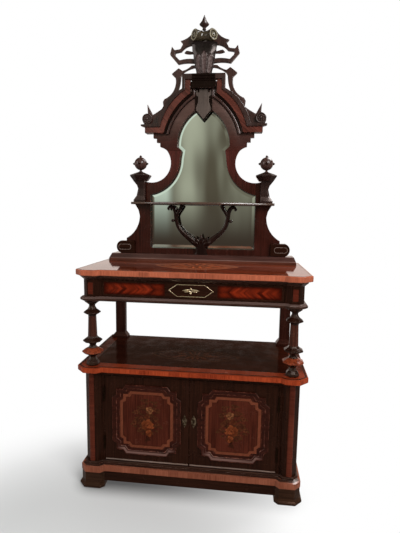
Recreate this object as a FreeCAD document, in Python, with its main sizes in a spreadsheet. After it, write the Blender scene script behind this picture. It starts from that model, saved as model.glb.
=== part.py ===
import FreeCAD, Part
import math
import os
import re

import Sketcher

# Driving dimensions in millimetres, grouped by storey from the floor up
SIZES = {
    # Plan of the top, whose stepped and chamfered corners every storey repeats
    "top_width": 1040,
    "top_depth": 519,
    "top_thickness": 26,
    "table_height": 1025,
    "corner_chamfer": 39,
    "corner_face": 63,
    "corner_step": 17,
    "edge_bevel": 2.5,
    "carcase_inset": 32,
    # Plinth and feet
    "plinth_inset": 16,
    "plinth_front_inset": 3,
    "plinth_chamfer": 25,
    "plinth_face": 68,
    "plinth_step": 17,
    "band_bottom": 75,
    "band_height": 27,
    "band_projection": 2,
    "foot_flare": 10,
    "foot_flare_height": 26,
    "foot_depth": 120,
    "rear_foot_width": 90,
    "apron_clearance": 28,
    "rail_thickness": 22,
    # Cupboard
    "floor_thickness": 13,
    "floor_ledge": 9,
    "post_width": 88,
    "post_depth": 45,
    "side_thickness": 18,
    "side_setback": 2,
    "back_thickness": 10,
    "cupboard_rail_height": 22,
    "inner_shelf_rise": 215,
    "inner_shelf_thickness": 15,
    "inner_shelf_setback": 75,
    "batten_size": 20,
    "waist_height": 580,
    "waist_thickness": 25,
    # Doors
    "door_gap": 2,
    "door_thickness": 22,
    "door_stile_width": 50,
    "door_rail_width": 52,
    "panel_thickness": 12,
    "moulding_margin": 38,
    "moulding_width": 18,
    "moulding_height": 7,
    "moulding_notch": 20,
    "moulding_ear": 44,
    "moulding_slant": 14,
    "escutcheon_height": 62,
    "escutcheon_width": 22,
    "escutcheon_thickness": 2,
    "escutcheon_offset": 21,
    "escutcheon_rise": 10,
    "keyhole_radius": 2.5,
    # Hinges, lock and slip bolt
    "hinge_height": 64,
    "hinge_margin": 55,
    "hinge_leaf_width": 18,
    "hinge_leaf_thickness": 1.6,
    "hinge_knuckle_radius": 3.5,
    "hinge_pin_radius": 2,
    "hinge_pin_overrun": 3,
    "hinge_proud": 4,
    "hinge_running_gap": 0.05,
    "hinge_end_gap": 0.3,
    "lock_width": 44,
    "lock_height": 64,
    "lock_depth": 14,
    "bolt_height": 12,
    "bolt_depth": 6,
    "bolt_length": 34,
    "bolt_back_gap": 3,
    "slide_gap": 0.3,
    "slip_bolt_width": 10,
    "slip_bolt_depth": 5,
    "slip_bolt_length": 80,
    "slip_bolt_inset": 12,
    "slip_bolt_drop": 3,
    "slip_guide_wall": 4,
    "slip_guide_height": 24,
    "slip_guide_drop": 30,
    "slip_knob_radius": 5,
    "slip_knob_length": 10,
    # Columns and pilasters of the open storey
    "column_inset": 68,
    "column_setback": 54,
    "column_cap_radius": 32,
    "column_neck_radius": 14,
    "column_upper_ring_radius": 38,
    "column_shaft_radius": 18,
    "column_shaft_foot_radius": 21,
    "column_lower_ring_radius": 43,
    "column_disc_radius": 48,
    "column_bell_radius": 31,
    "pilaster_inset": 63,
    "pilaster_width": 54,
    "pilaster_depth": 32,
    "pilaster_flare": 17,
    "pilaster_flare_height": 28,
    "pilaster_back_gap": 4,
    # Frieze and drawer
    "frieze_height": 119,
    "frieze_base_height": 23,
    "frieze_lip_inset": 16,
    "frieze_lip_cove": 10,
    "frieze_frame_height": 21,
    "frieze_frame_inset": 17,
    "block_width": 83,
    "drawer_gap": 1.5,
    "drawer_front_thickness": 20,
    "drawer_wall": 10,
    "drawer_side_inset": 18,
    "drawer_back_gap": 40,
    "drawer_wall_height": 58,
    "drawer_bottom_thickness": 6,
    "drawer_bottom_rise": 6,
    "runner_height": 4,
    "runner_width": 14,
    "guide_height": 14,
    "cartouche_half_length": 101,
    "cartouche_half_height": 28,
    "cartouche_shoulder": 62,
    "cartouche_line": 4,
    "cartouche_thickness": 2,
    "ornament_half_length": 40,
    "ornament_half_height": 14,
    "ornament_boss": 10,
    "drawer_lock_width": 56,
    "drawer_lock_height": 46,
    "drawer_lock_drop": 2,
    "drawer_lock_depth": 12,
    "drawer_bolt_width": 18,
    "drawer_bolt_length": 24,
    # Mirror base and frame; heights are above the base rail, drops below the cusp
    "mirror_base_inset": 27,
    "mirror_base_slope": 11,
    "mirror_base_depth": 112,
    "mirror_base_top_depth": 94,
    "mirror_base_height": 38,
    "mirror_base_step": 12,
    "frame_back_gap": 40,
    "frame_thickness": 22,
    "sight_half_width": 278,
    "sight_bottom": 30,
    "sight_shoulder_drop": 227,
    "sight_bow_reach": 52,
    "sight_bow_drop": 161,
    "sight_waist_reach": 7,
    "sight_waist_drop": 41,
    "cusp_half_width": 114,
    "cusp_height": 541,
    "stile_foot_reach": 84,
    "stile_toe_reach": 132,
    "stile_toe_height": 66,
    "stile_toe_thickness": 14,
    "stile_hollow_reach": 79,
    "stile_hollow_height": 130,
    "stile_waist_reach": 59,
    "stile_waist_height": 203,
    "stile_corbel_reach": 66,
    "stile_corbel_height": 232,
    "shelf_shoulder_reach": 84,
    "shoulder_reach": 24,
    "shoulder_drop": 160,
    "hollow_reach": 55,
    "hollow_drop": 69,
    "neck_reach": 76,
    "scroll_reach": 184,
    "scroll_round_reach": 160,
    "scroll_projection": 14,
    # Head, cornice and keystone; heights are above the cusp, reaches out from it
    "head_hollow_reach": 93,
    "head_hollow_height": 12,
    "head_step_reach": 112,
    "head_step_height": 19,
    "head_step_rise": 22,
    "head_step_run": 18,
    "cornice_stub_reach": 188,
    "cornice_stub_bottom": 86,
    "cornice_stub_height": 28,
    "cornice_lip": 21,
    "cornice_lip_height": 13,
    "band_inner_reach": 90,
    "band_inner_bow_reach": 29,
    "band_inner_bow_height": 209,
    "band_inner_top_half_width": 67,
    "band_inner_top_height": 279,
    "band_outer_reach": 108,
    "band_outer_bow_reach": 54,
    "band_outer_bow_height": 227,
    "band_outer_top_half_width": 94,
    "band_outer_top_height": 294,
    "band_top_height": 344,
    "rake_reach": 126,
    "rake_height": 133,
    "rake_bow_reach": 67,
    "rake_bow_height": 245,
    "rake_top_half_width": 109,
    "rake_top_height": 300,
    "cornice_top_height": 371,
    "cornice_depth": 30,
    "band_depth": 23,
    "corbel_half_width": 60,
    "corbel_height": 42,
    "head_margin": 2,
    "arch_foot_reach": 22,
    "arch_foot_height": 20,
    "arch_bow_reach": 8,
    "arch_bow_height": 104,
    "arch_apex_height": 221,
    "keystone_half_width": 44,
    "keystone_step": 12,
    "keystone_step_height": 265,
    "keystone_notch_height": 199,
    "keystone_tip_height": 149,
    "keystone_tip_half_width": 12,
    "keystone_thickness": 8,
    # Glass, backboard, shelf, bracket and pedestals
    "glass_margin": 9,
    "glass_thickness": 4,
    "backboard_margin": 8,
    "backboard_thickness": 10,
    "shelf_height": 261,
    "shelf_thickness": 12,
    "shelf_reach": 95,
    "shelf_end_depth": 36,
    "shelf_hollow_reach": 12,
    "shelf_hollow_depth": 32,
    "shelf_wing_inset": 63,
    "shelf_wing_depth": 62,
    "shelf_centre_depth": 106,
    "bracket_thickness": 20,
    "bracket_wall_gap": 8,
    "bracket_stem_half_width": 30,
    "bracket_stem_height": 72,
    "bracket_arm_half_width": 117,
    "bracket_arm_height": 126,
    "bracket_waist_half_width": 140,
    "bracket_waist_height": 202,
    "bracket_arm_width": 22,
    "bracket_fork_height": 104,
    "bracket_curl_half_width": 178,
    "bracket_curl_drop": 26,
    "bracket_split_half_width": 129,
    "bracket_split_width": 26,
    "bracket_split_drop": 33,
    "pedestal_reach": 50,
    "pedestal_offset": 8,
    "pedestal_foot_out": 36,
    "pedestal_waist_out": 13,
    "pedestal_neck_out": 36,
    "pedestal_foot_front": 33,
    "pedestal_waist_front": 24,
    "pedestal_neck_front": 36,
    "pedestal_chamfer": 9,
    "pedestal_neck_radius": 39,
    "pedestal_cap_radius": 57,
    "pedestal_top_radius": 12,
    "pedestal_foot_height": 11,
    "pedestal_foot_slope": 22,
    "pedestal_waist_height": 70,
    "pedestal_cap_gap": 2,
    "pedestal_cap_height": 25,
    "pedestal_cap_edge": 5,
    "pedestal_dome": 17,
    "ball_radius": 33,
    "ball_neck_radius": 6,
    "ball_neck_height": 9,
    "ball_knob_radius": 7,
    "ball_knob_height": 11,
    # Crest; heights are above the cornice top
    "fret_root_half_width": 12,
    "fret_thickness": 20,
    "wing_root_half_width": 56,
    "wing_root_height": 214,
    "wing_bow_half_width": 78,
    "wing_bow_height": 188,
    "wing_tip_half_width": 124,
    "wing_tip_height": 168,
    "ear_tip_half_width": 167,
    "ear_tip_height": 143,
    "ear_half_width": 177,
    "ear_height": 104,
    "ear_cusp_half_width": 134,
    "ear_cusp_height": 56,
    "strap_width": 14,
    "diamond_half_width": 168,
    "diamond_height": 10,
    "rosette_reach": 178,
    "rosette_radius": 27,
    "rosette_rise": 4,
    "rosette_thickness": 12,
    "horn_width": 26,
    "horn_height": 54,
    "horn_lean": 3,
    "hook_root_half_width": 40,
    "hook_half_width": 104,
    "hook_height": 103,
    "hook_thickness": 12,
    "hook_curl": 12,
    "shield_foot_half_width": 38,
    "shield_half_width": 65,
    "shield_foot_depth": 26,
    "shield_depth": 50,
    "shield_height": 146,
    "roll_radius": 28,
    "roll_half_length": 60,
    "finial_height": 70,
    "finial_radius": 24,
    "finial_neck_radius": 7,
    "seat_gap": 0.2,
}

doc = FreeCAD.newDocument("chiffonier")
dims = doc.addObject("Spreadsheet::Sheet", "dims")
for row, (word, millimetres) in enumerate(SIZES.items(), start=1):
    dims.set(f"A{row}", word)
    dims.set(f"B{row}", str(millimetres))
    dims.setAlias(f"B{row}", word)
doc.recompute()

# Levels and planes that several pieces share, as formulas of the sizes
BACK = "((top_depth - plinth_front_inset + foot_flare) / 2)"
FRONT = f"({BACK} - top_depth)"
PLINTH_FRONT = f"({FRONT} + plinth_front_inset)"
MAIN = f"({FRONT} + carcase_inset + corner_step)"
POST_BACK = f"({MAIN} + post_depth)"
WALL = "(top_width / 2 - carcase_inset - side_setback)"
PLINTH_EDGE = "(top_width / 2 - plinth_inset)"
CUPBOARD_EDGE = "(top_width / 2 - carcase_inset - post_width)"
DRAWER_EDGE = "(top_width / 2 - carcase_inset - block_width)"
BAND_TOP = "(band_bottom + band_height)"
FLOOR = f"({BAND_TOP} + floor_thickness)"
WAIST_UNDER = "(waist_height - waist_thickness)"
DOOR_FOOT = f"({FLOOR} + door_gap)"
DOOR_HEAD = f"({WAIST_UNDER} - cupboard_rail_height - door_gap)"
DOOR_EDGE = f"({CUPBOARD_EDGE} - door_gap)"
HINGE_LINE = f"({CUPBOARD_EDGE} - door_gap / 2)"
DOOR_BACK = f"({MAIN} + door_thickness)"
DOOR_MIDDLE = f"(({DOOR_FOOT} + {DOOR_HEAD}) / 2)"
LOCK_LEVEL = f"({DOOR_MIDDLE} + escutcheon_rise)"
INNER_SHELF = f"({FLOOR} + inner_shelf_rise)"
TOP_UNDER = "(table_height - top_thickness)"
FRIEZE_FOOT = f"({TOP_UNDER} - frieze_height)"
FRIEZE_FLOOR = f"({FRIEZE_FOOT} + frieze_base_height)"
FRIEZE_HEAD = f"({TOP_UNDER} - frieze_frame_height)"
DRAWER_FOOT = f"({FRIEZE_FLOOR} + drawer_gap)"
DRAWER_HEAD = f"({FRIEZE_HEAD} - drawer_gap)"
DRAWER_BACK = f"({MAIN} + drawer_front_thickness)"
DRAWER_WALL_FOOT = f"({FRIEZE_FLOOR} + runner_height + slide_gap)"
DRAWER_SIDE = f"({DRAWER_EDGE} - drawer_side_inset)"
MIRROR_FOOT = "(table_height + mirror_base_height)"
CUSP = f"({MIRROR_FOOT} + cusp_height)"
SHOULDER = f"({CUSP} - shoulder_drop)"
FRAME_BACK = f"({BACK} - frame_back_gap)"
FRAME_FRONT = f"({FRAME_BACK} - frame_thickness)"
SHELF_TOP = f"({MIRROR_FOOT} + shelf_height + shelf_thickness)"
CREST_FOOT = f"({CUSP} + cornice_top_height)"
ROLL_LEVEL = f"({CREST_FOOT} + shield_height + roll_radius + seat_gap)"
ROLL_DEPTH = f"({FRAME_FRONT} - roll_radius - seat_gap)"

TOP_PLAN = ("top_width / 2", FRONT, "corner_chamfer", "corner_face", "corner_step")
PLINTH_PLAN = (PLINTH_EDGE, PLINTH_FRONT, "plinth_chamfer", "plinth_face", "plinth_step")
SIDES = {"left": -1, "right": 1}
UP = FreeCAD.Vector(0, 0, 1)
FORWARD = FreeCAD.Rotation(FreeCAD.Vector(1, 0, 0), 90)

pieces = []


def formula(text):
    """The text with the sheet's name before each size that it names."""
    return re.sub(r"[a-z][a-z_]+", lambda found: named(found.group()), str(text))


def named(word):
    return f"dims.{word}" if word in SIZES else word


def value(text):
    """What a formula comes to now, in millimetres."""
    return float(dims.evalExpression(formula(text)))


def piece(label, member):
    """Keep an object as a finished sub-part under its own name."""
    member.Label = label
    pieces.append(member)
    return member


def group(label, members):
    """Several like solids that share one node."""
    compound = doc.addObject("Part::Compound", label)
    compound.Links = members
    return piece(label, compound)


def bind_place(member, x, y, z):
    for axis, text in zip("xyz", (x, y, z)):
        member.setExpression(f"Placement.Base.{axis}", formula(text))


def box(name, x, y, z):
    """A board between two corners, each direction a pair of formulas."""
    board = doc.addObject("Part::Box", name)
    for side, (low, high) in zip(("Length", "Width", "Height"), (x, y, z)):
        board.setExpression(side, formula(f"({high}) - ({low})"))
    bind_place(board, x[0], y[0], z[0])
    return board


def sided(side, low, high):
    """An interval out from the centre line, on the left or the right."""
    if side > 0:
        return low, high
    return f"-({high})", f"-({low})"


def rod(name, radius, height, x, y, z):
    """An upright cylinder on the point given."""
    cylinder = doc.addObject("Part::Cylinder", name)
    cylinder.setExpression("Radius", formula(radius))
    cylinder.setExpression("Height", formula(height))
    bind_place(cylinder, x, y, z)
    return cylinder


def fused(name, members):
    union = doc.addObject("Part::MultiFuse", name)
    union.Shapes = members
    return union


def cut(name, base, tools):
    """The base less all the tools together."""
    rest = doc.addObject("Part::Cut", name)
    rest.Base = base
    rest.Tool = tools[0] if len(tools) == 1 else fused(f"{name}_tools", tools)
    return rest


def sketch_on(body, plane_role, offset):
    """A sketch on one of the body's own planes, moved along the plane's normal."""
    sketch = body.newObject("Sketcher::SketchObject", f"{body.Name}_outline")
    plane = next(plane for plane in body.Origin.OriginFeatures if plane.Role == plane_role)
    sketch.AttachmentSupport = [(plane, "")]
    sketch.MapMode = "FlatFace"
    sketch.setExpression("AttachmentOffset.Base.z", formula(offset))
    return sketch


def arc_between(start, via, end):
    """The arc through three points, with which of its ends is the start and which the end."""
    turns_left = (via - start).cross(end - start).z > 0
    curve = Part.Arc(start, via, end).toShape().Curve
    centre = curve.Center
    first, last = (start, end) if turns_left else (end, start)
    angles = [math.atan2(point.y - centre.y, point.x - centre.x) for point in (first, last)]
    arc = Part.ArcOfCircle(Part.Circle(centre, UP, curve.Radius), *angles)
    return arc, (1, 2) if turns_left else (2, 1)


def draw(sketch, path):
    """Draw a closed outline. A point is (x, y), reached by a line, or (x, y, via x, via y), by an arc."""
    corners = [FreeCAD.Vector(value(point[0]), value(point[1]), 0) for point in path]
    constraints = []
    formulas = []

    def fix(geometry, end, x, y):
        for kind, text in (("DistanceX", x), ("DistanceY", y)):
            formulas.append((len(constraints), text))
            constraints.append(Sketcher.Constraint(kind, -1, 1, geometry, end, value(text)))

    ends = []
    for index, point in enumerate(path):
        start, end = corners[index - 1], corners[index]
        if len(point) == 2:
            edge = sketch.addGeometry(Part.LineSegment(start, end), False)
            ends.append((edge, 1, 2))
        else:
            via = FreeCAD.Vector(value(point[2]), value(point[3]), 0)
            arc, order = arc_between(start, via, end)
            edge = sketch.addGeometry(arc, False)
            mark = sketch.addGeometry(Part.Point(via), True)
            constraints.append(Sketcher.Constraint("PointOnObject", mark, 1, edge))
            fix(mark, 1, point[2], point[3])
            ends.append((edge, *order))
        fix(edge, ends[-1][2], point[0], point[1])
    for index, (edge, start, _) in enumerate(ends):
        before, _, end = ends[index - 1]
        constraints.append(Sketcher.Constraint("Coincident", before, end, edge, start))
    first = sketch.ConstraintCount
    sketch.addConstraint(constraints)
    for index, text in formulas:
        sketch.setExpression(f"Constraints[{first + index}]", formula(text))


def padded(name, plane_role, offset, length, paths):
    body = doc.addObject("PartDesign::Body", name)
    sketch = sketch_on(body, plane_role, offset)
    for path in paths:
        draw(sketch, path)
    pad = body.newObject("PartDesign::Pad", f"{name}_pad")
    pad.Profile = sketch
    pad.setExpression("Length", formula(length))
    return body


def board(name, bottom, top, *paths):
    """A flat board cut to a plan, between two heights."""
    return padded(name, "XY_Plane", bottom, f"({top}) - ({bottom})", paths)


def fret(name, front, back, *paths):
    """An upright board cut to a front view, between two depths."""
    return padded(name, "XZ_Plane", f"-({back})", f"({back}) - ({front})", paths)


def stack(name, sections):
    """A solid ruled through plans at rising heights."""
    body = doc.addObject("PartDesign::Body", name)
    sketches = []
    for height, path in sections:
        sketch = sketch_on(body, "XY_Plane", height)
        draw(sketch, path)
        sketches.append(sketch)
    loft = body.newObject("PartDesign::AdditiveLoft", f"{name}_loft")
    loft.Profile = sketches[0]
    loft.Sections = sketches[1:]
    loft.Ruled = True
    return body


def faceted(name, x, y, sections):
    """An eight-sided turning: pairs of height and radius to the flats' corners."""
    rings = []
    for height, radius in sections:
        ring = doc.addObject("Part::RegularPolygon", f"{name}_ring")
        ring.Polygon = 8
        ring.setExpression("Circumradius", formula(radius))
        ring.Placement.Rotation = FreeCAD.Rotation(UP, 180 / ring.Polygon)
        bind_place(ring, x, y, height)
        rings.append(ring)
    loft = doc.addObject("Part::Loft", name)
    loft.Sections = rings
    loft.Solid = True
    loft.Ruled = True
    return loft


def turned(name, x, y, z, profile):
    """A round turning: the profile is spun about the upright axis through the point given."""
    body = doc.addObject("PartDesign::Body", name)
    sketch = sketch_on(body, "XZ_Plane", "0")
    draw(sketch, profile)
    spin = body.newObject("PartDesign::Revolution", f"{name}_spin")
    spin.Profile = sketch
    spin.ReferenceAxis = (sketch, ["V_Axis"])
    spin.Angle = 360
    bind_place(body, x, y, z)
    return body


def mirrored(half):
    """A whole outline from its right half. A first or last point on the centre line is shared."""
    left = []
    for index in range(len(half) - 1, -1, -1):
        x, y = half[index][:2]
        arrival = half[index + 1] if index + 1 < len(half) else ()
        via = (f"-({arrival[2]})", arrival[3]) if len(arrival) == 4 else ()
        left.append((f"-({x})", y, *via))
    if half[-1][0] == "0":
        left.pop(0)
    first = half[0]
    if first[0] == "0":
        first = (*first[:2], *left.pop()[2:])
    return [first, *half[1:], *left]


def on_side(side, path):
    """An outline drawn for the right, put on the side asked for."""
    if side > 0:
        return path
    flipped = []
    for point in path:
        xs = [f"-({x})" for x in point[::2]]
        flipped.append(tuple(text for pair in zip(xs, point[1::2]) for text in pair))
    return flipped


def rectangle(x, y):
    return [(x[0], y[0]), (x[1], y[0]), (x[1], y[1]), (x[0], y[1])]


def corner(plan, inset):
    """The front right corner of a plan drawn in by an inset: chamfer, face and step."""
    half_width, front, chamfer, face, step = plan
    edge = f"({half_width} - ({inset}))"
    nose = f"({front} + ({inset}))"
    slope = f"({chamfer} - ({inset}) * (2 - sqrt(2)))"
    flat = f"({face} - 2 * ({inset}) * tan(22.5 deg))"
    inner = f"({edge} - {slope} - {flat})"
    return [
        (edge, f"{nose} + {slope}"),
        (f"{edge} - {slope}", nose),
        (inner, nose),
        (f"{inner} - {step}", f"{nose} + {step}"),
    ]


def outline(plan, inset):
    """The whole plan of a storey, with its corners, to the flush back."""
    right = corner(plan, inset)
    edge = right[0][0]
    left = [(f"-({x})", y) for x, y in right]
    return [(edge, BACK), *right, *reversed(left), (f"-({edge})", BACK)]


def bevelled_board(name, bottom, top):
    """A board with the top's plan and a small bevel round both edges."""
    return stack(name, [
        (bottom, outline(TOP_PLAN, "edge_bevel")),
        (f"{bottom} + edge_bevel", outline(TOP_PLAN, "0")),
        (f"{top} - edge_bevel", outline(TOP_PLAN, "0")),
        (top, outline(TOP_PLAN, "edge_bevel")),
    ])


def make_feet():
    right = corner(PLINTH_PLAN, "0")
    back = f"{PLINTH_FRONT} + foot_depth"
    flare_steps = ((0, 0.4), (0.2, 1), (0.5, 1), (0.75, 0.35), (1, 0))
    front = []
    for side in SIDES.values():
        sections = []
        for rise, reach in flare_steps:
            plan = corner(PLINTH_PLAN, f"-foot_flare * {reach}")
            path = [(plan[0][0], back), *plan, (plan[-1][0], back)]
            sections.append((f"foot_flare_height * {rise}", on_side(side, path)))
        top = [(right[0][0], back), *right, (right[-1][0], back)]
        sections.append(("band_bottom", on_side(side, top)))
        front.append(stack("foot_front", sections))
    group("feet_front", front)
    rear = [
        box("foot_rear", sided(side, f"{PLINTH_EDGE} - rear_foot_width", PLINTH_EDGE),
            (f"{BACK} - rear_foot_width", BACK), ("0", "band_bottom"))
        for side in SIDES.values()
    ]
    group("feet_rear", rear)


def make_plinth():
    inner = corner(PLINTH_PLAN, "0")[-1]
    levels = ("apron_clearance", "band_bottom")
    front = box("apron_front", (f"-({inner[0]})", inner[0]), (inner[1], f"{inner[1]} + rail_thickness"),
                levels)
    rear = box("apron_back", (f"rear_foot_width - {PLINTH_EDGE}", f"{PLINTH_EDGE} - rear_foot_width"),
               (f"{BACK} - rail_thickness", BACK), levels)
    ends = [
        box("apron_end", sided(side, f"{PLINTH_EDGE} - rail_thickness", PLINTH_EDGE),
            (f"{PLINTH_FRONT} + foot_depth", f"{BACK} - rear_foot_width"), levels)
        for side in SIDES.values()
    ]
    group("plinth_rails", [front, rear, *ends])
    piece("plinth_band", board("plinth_band", "band_bottom", BAND_TOP,
                               outline(PLINTH_PLAN, "-band_projection")))


def make_cupboard():
    ledge = outline(TOP_PLAN, "carcase_inset - floor_ledge")
    piece("cabinet_floor", board("cabinet_floor", BAND_TOP, FLOOR, ledge))
    posts = []
    for side in SIDES.values():
        post = board("post_blank", FLOOR, WAIST_UNDER, on_side(side, post_plan(CUPBOARD_EDGE)))
        sinkings = [
            box("leaf_sinking", *leaf_space(side, level, CUPBOARD_EDGE, "hinge_leaf_thickness"))
            for level in hinge_levels()
        ]
        posts.append(cut("corner_post", post, sinkings))
    group("corner_posts", posts)
    walls = [
        box("side_panel", sided(side, f"{WALL} - side_thickness", WALL),
            (POST_BACK, f"{BACK} - back_thickness"), (FLOOR, WAIST_UNDER))
        for side in SIDES.values()
    ]
    group("side_panels", walls)
    piece("cabinet_back", box("cabinet_back", (f"-{WALL}", WALL), (f"{BACK} - back_thickness", BACK),
                              (FLOOR, WAIST_UNDER)))
    piece("cupboard_rail", box("cupboard_rail", (f"-{CUPBOARD_EDGE}", CUPBOARD_EDGE),
                               (MAIN, f"{MAIN} + rail_thickness"),
                               (f"{WAIST_UNDER} - cupboard_rail_height", WAIST_UNDER)))
    inside = f"({WALL} - side_thickness)"
    depth = (f"{MAIN} + inner_shelf_setback", f"{BACK} - back_thickness")
    piece("inner_shelf", box("inner_shelf", (f"-{inside}", inside), depth,
                             (INNER_SHELF, f"{INNER_SHELF} + inner_shelf_thickness")))
    battens = [
        box("batten", sided(side, f"{inside} - batten_size", inside), depth,
            (f"{INNER_SHELF} - batten_size", INNER_SHELF))
        for side in SIDES.values()
    ]
    group("battens_and_runners", battens + drawer_runners())
    piece("waist_shelf", bevelled_board("waist_shelf", WAIST_UNDER, "waist_height"))


def post_plan(opening):
    """The plan of a corner post or frieze block, from the outer wall in to the opening."""
    right = corner(TOP_PLAN, "carcase_inset")
    return [(right[0][0], POST_BACK), *right, (opening, MAIN), (opening, POST_BACK)]


def hinge_levels():
    """The foot of the lower and of the upper hinge."""
    return f"{DOOR_FOOT} + hinge_margin", f"{DOOR_HEAD} - hinge_margin - hinge_height"


def leaf_space(side, level, edge, thickness):
    """The box a hinge leaf is let into, out from an edge, or in from it for a minus thickness."""
    across = sided(side, f"{edge}", f"{edge} + {thickness}")
    if thickness.startswith("-"):
        across = sided(side, f"{edge} + ({thickness})", f"{edge}")
    return across, (MAIN, f"{MAIN} + hinge_leaf_width"), (level, f"{level} + hinge_height")


def stepped_rectangle(left, right, foot, head, draw_in):
    """A rectangle whose corners are broken by square notches with slanting sides."""
    low_x, high_x = f"({left} + {draw_in})", f"({right} - {draw_in})"
    low_z, high_z = f"({foot} + {draw_in})", f"({head} - {draw_in})"

    def broken(x, z, way_x, way_z):
        notch_x = f"{x} + {way_x} * moulding_notch"
        notch_z = f"{z} + {way_z} * moulding_notch"
        return [
            (x, f"{z} + {way_z} * (moulding_notch + moulding_ear)"),
            (notch_x, f"{z} + {way_z} * (moulding_notch + moulding_ear - moulding_slant)"),
            (notch_x, notch_z),
            (f"{x} + {way_x} * (moulding_notch + moulding_ear - moulding_slant)", notch_z),
            (f"{x} + {way_x} * (moulding_notch + moulding_ear)", z),
        ]

    return [
        *broken(low_x, low_z, 1, 1),
        *reversed(broken(high_x, low_z, -1, 1)),
        *broken(high_x, high_z, -1, -1),
        *reversed(broken(low_x, high_z, 1, -1)),
    ]


def make_door(side_name, side):
    across = sided(side, "door_gap / 2", DOOR_EDGE)
    opening_x = (f"{across[0]} + door_stile_width", f"{across[1]} - door_stile_width")
    opening_z = (f"{DOOR_FOOT} + door_rail_width", f"{DOOR_HEAD} - door_rail_width")
    blank = fret(f"frame_blank_{side_name}", MAIN, DOOR_BACK,
                 rectangle(across, (DOOR_FOOT, DOOR_HEAD)), rectangle(opening_x, opening_z))
    keyhole_x = f"{side} * escutcheon_offset"
    keyhole = rod("keyhole", "keyhole_radius", "door_thickness", keyhole_x, DOOR_BACK, LOCK_LEVEL)
    keyhole.Placement.Rotation = FORWARD
    sinkings = [
        box("leaf_sinking", *leaf_space(side, level, DOOR_EDGE, "-hinge_leaf_thickness"))
        for level in hinge_levels()
    ]
    piece(f"{side_name}_door_frame", cut(f"{side_name}_door_frame", blank, [keyhole, *sinkings]))
    piece(f"{side_name}_door_panel",
          box(f"{side_name}_door_panel", opening_x, (MAIN, f"{MAIN} + panel_thickness"), opening_z))
    edges = (f"{across[0]} + moulding_margin", f"{across[1]} - moulding_margin",
             f"{DOOR_FOOT} + moulding_margin", f"{DOOR_HEAD} - moulding_margin")
    piece(f"{side_name}_door_moulding",
          fret(f"{side_name}_door_moulding", f"{MAIN} - moulding_height", MAIN,
               stepped_rectangle(*edges, "0"), stepped_rectangle(*edges, "moulding_width")))
    make_escutcheon(side_name, keyhole_x)


def make_escutcheon(side_name, centre):
    """A lozenge-shaped plate with bowed shoulders, pierced for the key."""
    half = [
        ("0", f"{LOCK_LEVEL} - escutcheon_height / 2"),
        ("escutcheon_width / 5", f"{LOCK_LEVEL} - escutcheon_height / 3"),
        ("escutcheon_width / 5", f"{LOCK_LEVEL} + escutcheon_height / 3",
         "escutcheon_width / 2", LOCK_LEVEL),
        ("0", f"{LOCK_LEVEL} + escutcheon_height / 2"),
    ]
    path = []
    for point in mirrored(half):
        xs = [f"({x}) + {centre}" for x in point[::2]]
        path.append(tuple(text for pair in zip(xs, point[1::2]) for text in pair))
    plate = fret(f"escutcheon_blank_{side_name}", f"{MAIN} - escutcheon_thickness", MAIN, path)
    hole = rod("escutcheon_hole", "keyhole_radius", "escutcheon_thickness", centre, MAIN, LOCK_LEVEL)
    hole.Placement.Rotation = FORWARD
    piece(f"{side_name}_door_escutcheon", cut(f"{side_name}_door_escutcheon", plate, [hole]))


def hinge_leaf(name, side, level, edge, thickness, knuckles):
    """A plate let into an edge, its neck and knuckles round the pin."""
    axis_x = f"{side} * {HINGE_LINE}"
    axis_y = f"{MAIN} - hinge_proud"
    space = leaf_space(side, level, edge, thickness)
    members = [box(f"{name}_plate", *space)]
    knuckle = "(hinge_height - 2 * hinge_end_gap) / 3"
    for place in knuckles:
        foot = f"{level} + {place} * ({knuckle} + hinge_end_gap)"
        members.append(box(f"{name}_neck", space[0], (axis_y, MAIN), (foot, f"{foot} + {knuckle}")))
        members.append(rod(f"{name}_knuckle", "hinge_knuckle_radius", knuckle, axis_x, axis_y, foot))
    bore = rod(f"{name}_bore", "hinge_pin_radius + hinge_running_gap", "hinge_height", axis_x, axis_y,
               level)
    return cut(name, fused(f"{name}_blank", members), [bore])


def make_hinges():
    fixed = []
    pins = []
    for side_name, side in SIDES.items():
        swinging = []
        for level in hinge_levels():
            fixed.append(hinge_leaf("fixed_leaf", side, level, CUPBOARD_EDGE, "hinge_leaf_thickness",
                                    (0, 2)))
            swinging.append(hinge_leaf("door_leaf", side, level, DOOR_EDGE, "-hinge_leaf_thickness",
                                       (1,)))
            pins.append(rod("hinge_pin", "hinge_pin_radius", "hinge_height + 2 * hinge_pin_overrun",
                            f"{side} * {HINGE_LINE}", f"{MAIN} - hinge_proud",
                            f"{level} - hinge_pin_overrun"))
        group(f"{side_name}_hinge_leaves", swinging)
    group("carcase_hinge_leaves", fixed)
    group("hinge_pins", pins)


def make_door_lock():
    """A lock on the back of the right door, whose bolt passes behind the left door."""
    bolt_y = (f"{DOOR_BACK} + bolt_back_gap", f"{DOOR_BACK} + bolt_back_gap + bolt_depth")
    bolt_z = (f"{LOCK_LEVEL} - bolt_height / 2", f"{LOCK_LEVEL} + bolt_height / 2")
    case = box("lock_blank", ("door_gap / 2", "door_gap / 2 + lock_width"),
               (DOOR_BACK, f"{DOOR_BACK} + lock_depth"),
               (f"{LOCK_LEVEL} - lock_height / 2", f"{LOCK_LEVEL} + lock_height / 2"))
    channel = box("lock_channel", ("door_gap / 2", "door_gap / 2 + bolt_length + slide_gap"),
                  (f"{bolt_y[0]} - slide_gap", f"{bolt_y[1]} + slide_gap"),
                  (f"{bolt_z[0]} - slide_gap", f"{bolt_z[1]} + slide_gap"))
    piece("door_lock_case", cut("door_lock_case", case, [channel]))
    piece("door_lock_bolt", box("door_lock_bolt", ("door_gap / 2", "door_gap / 2 + bolt_length"),
                                bolt_y, bolt_z))


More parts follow.
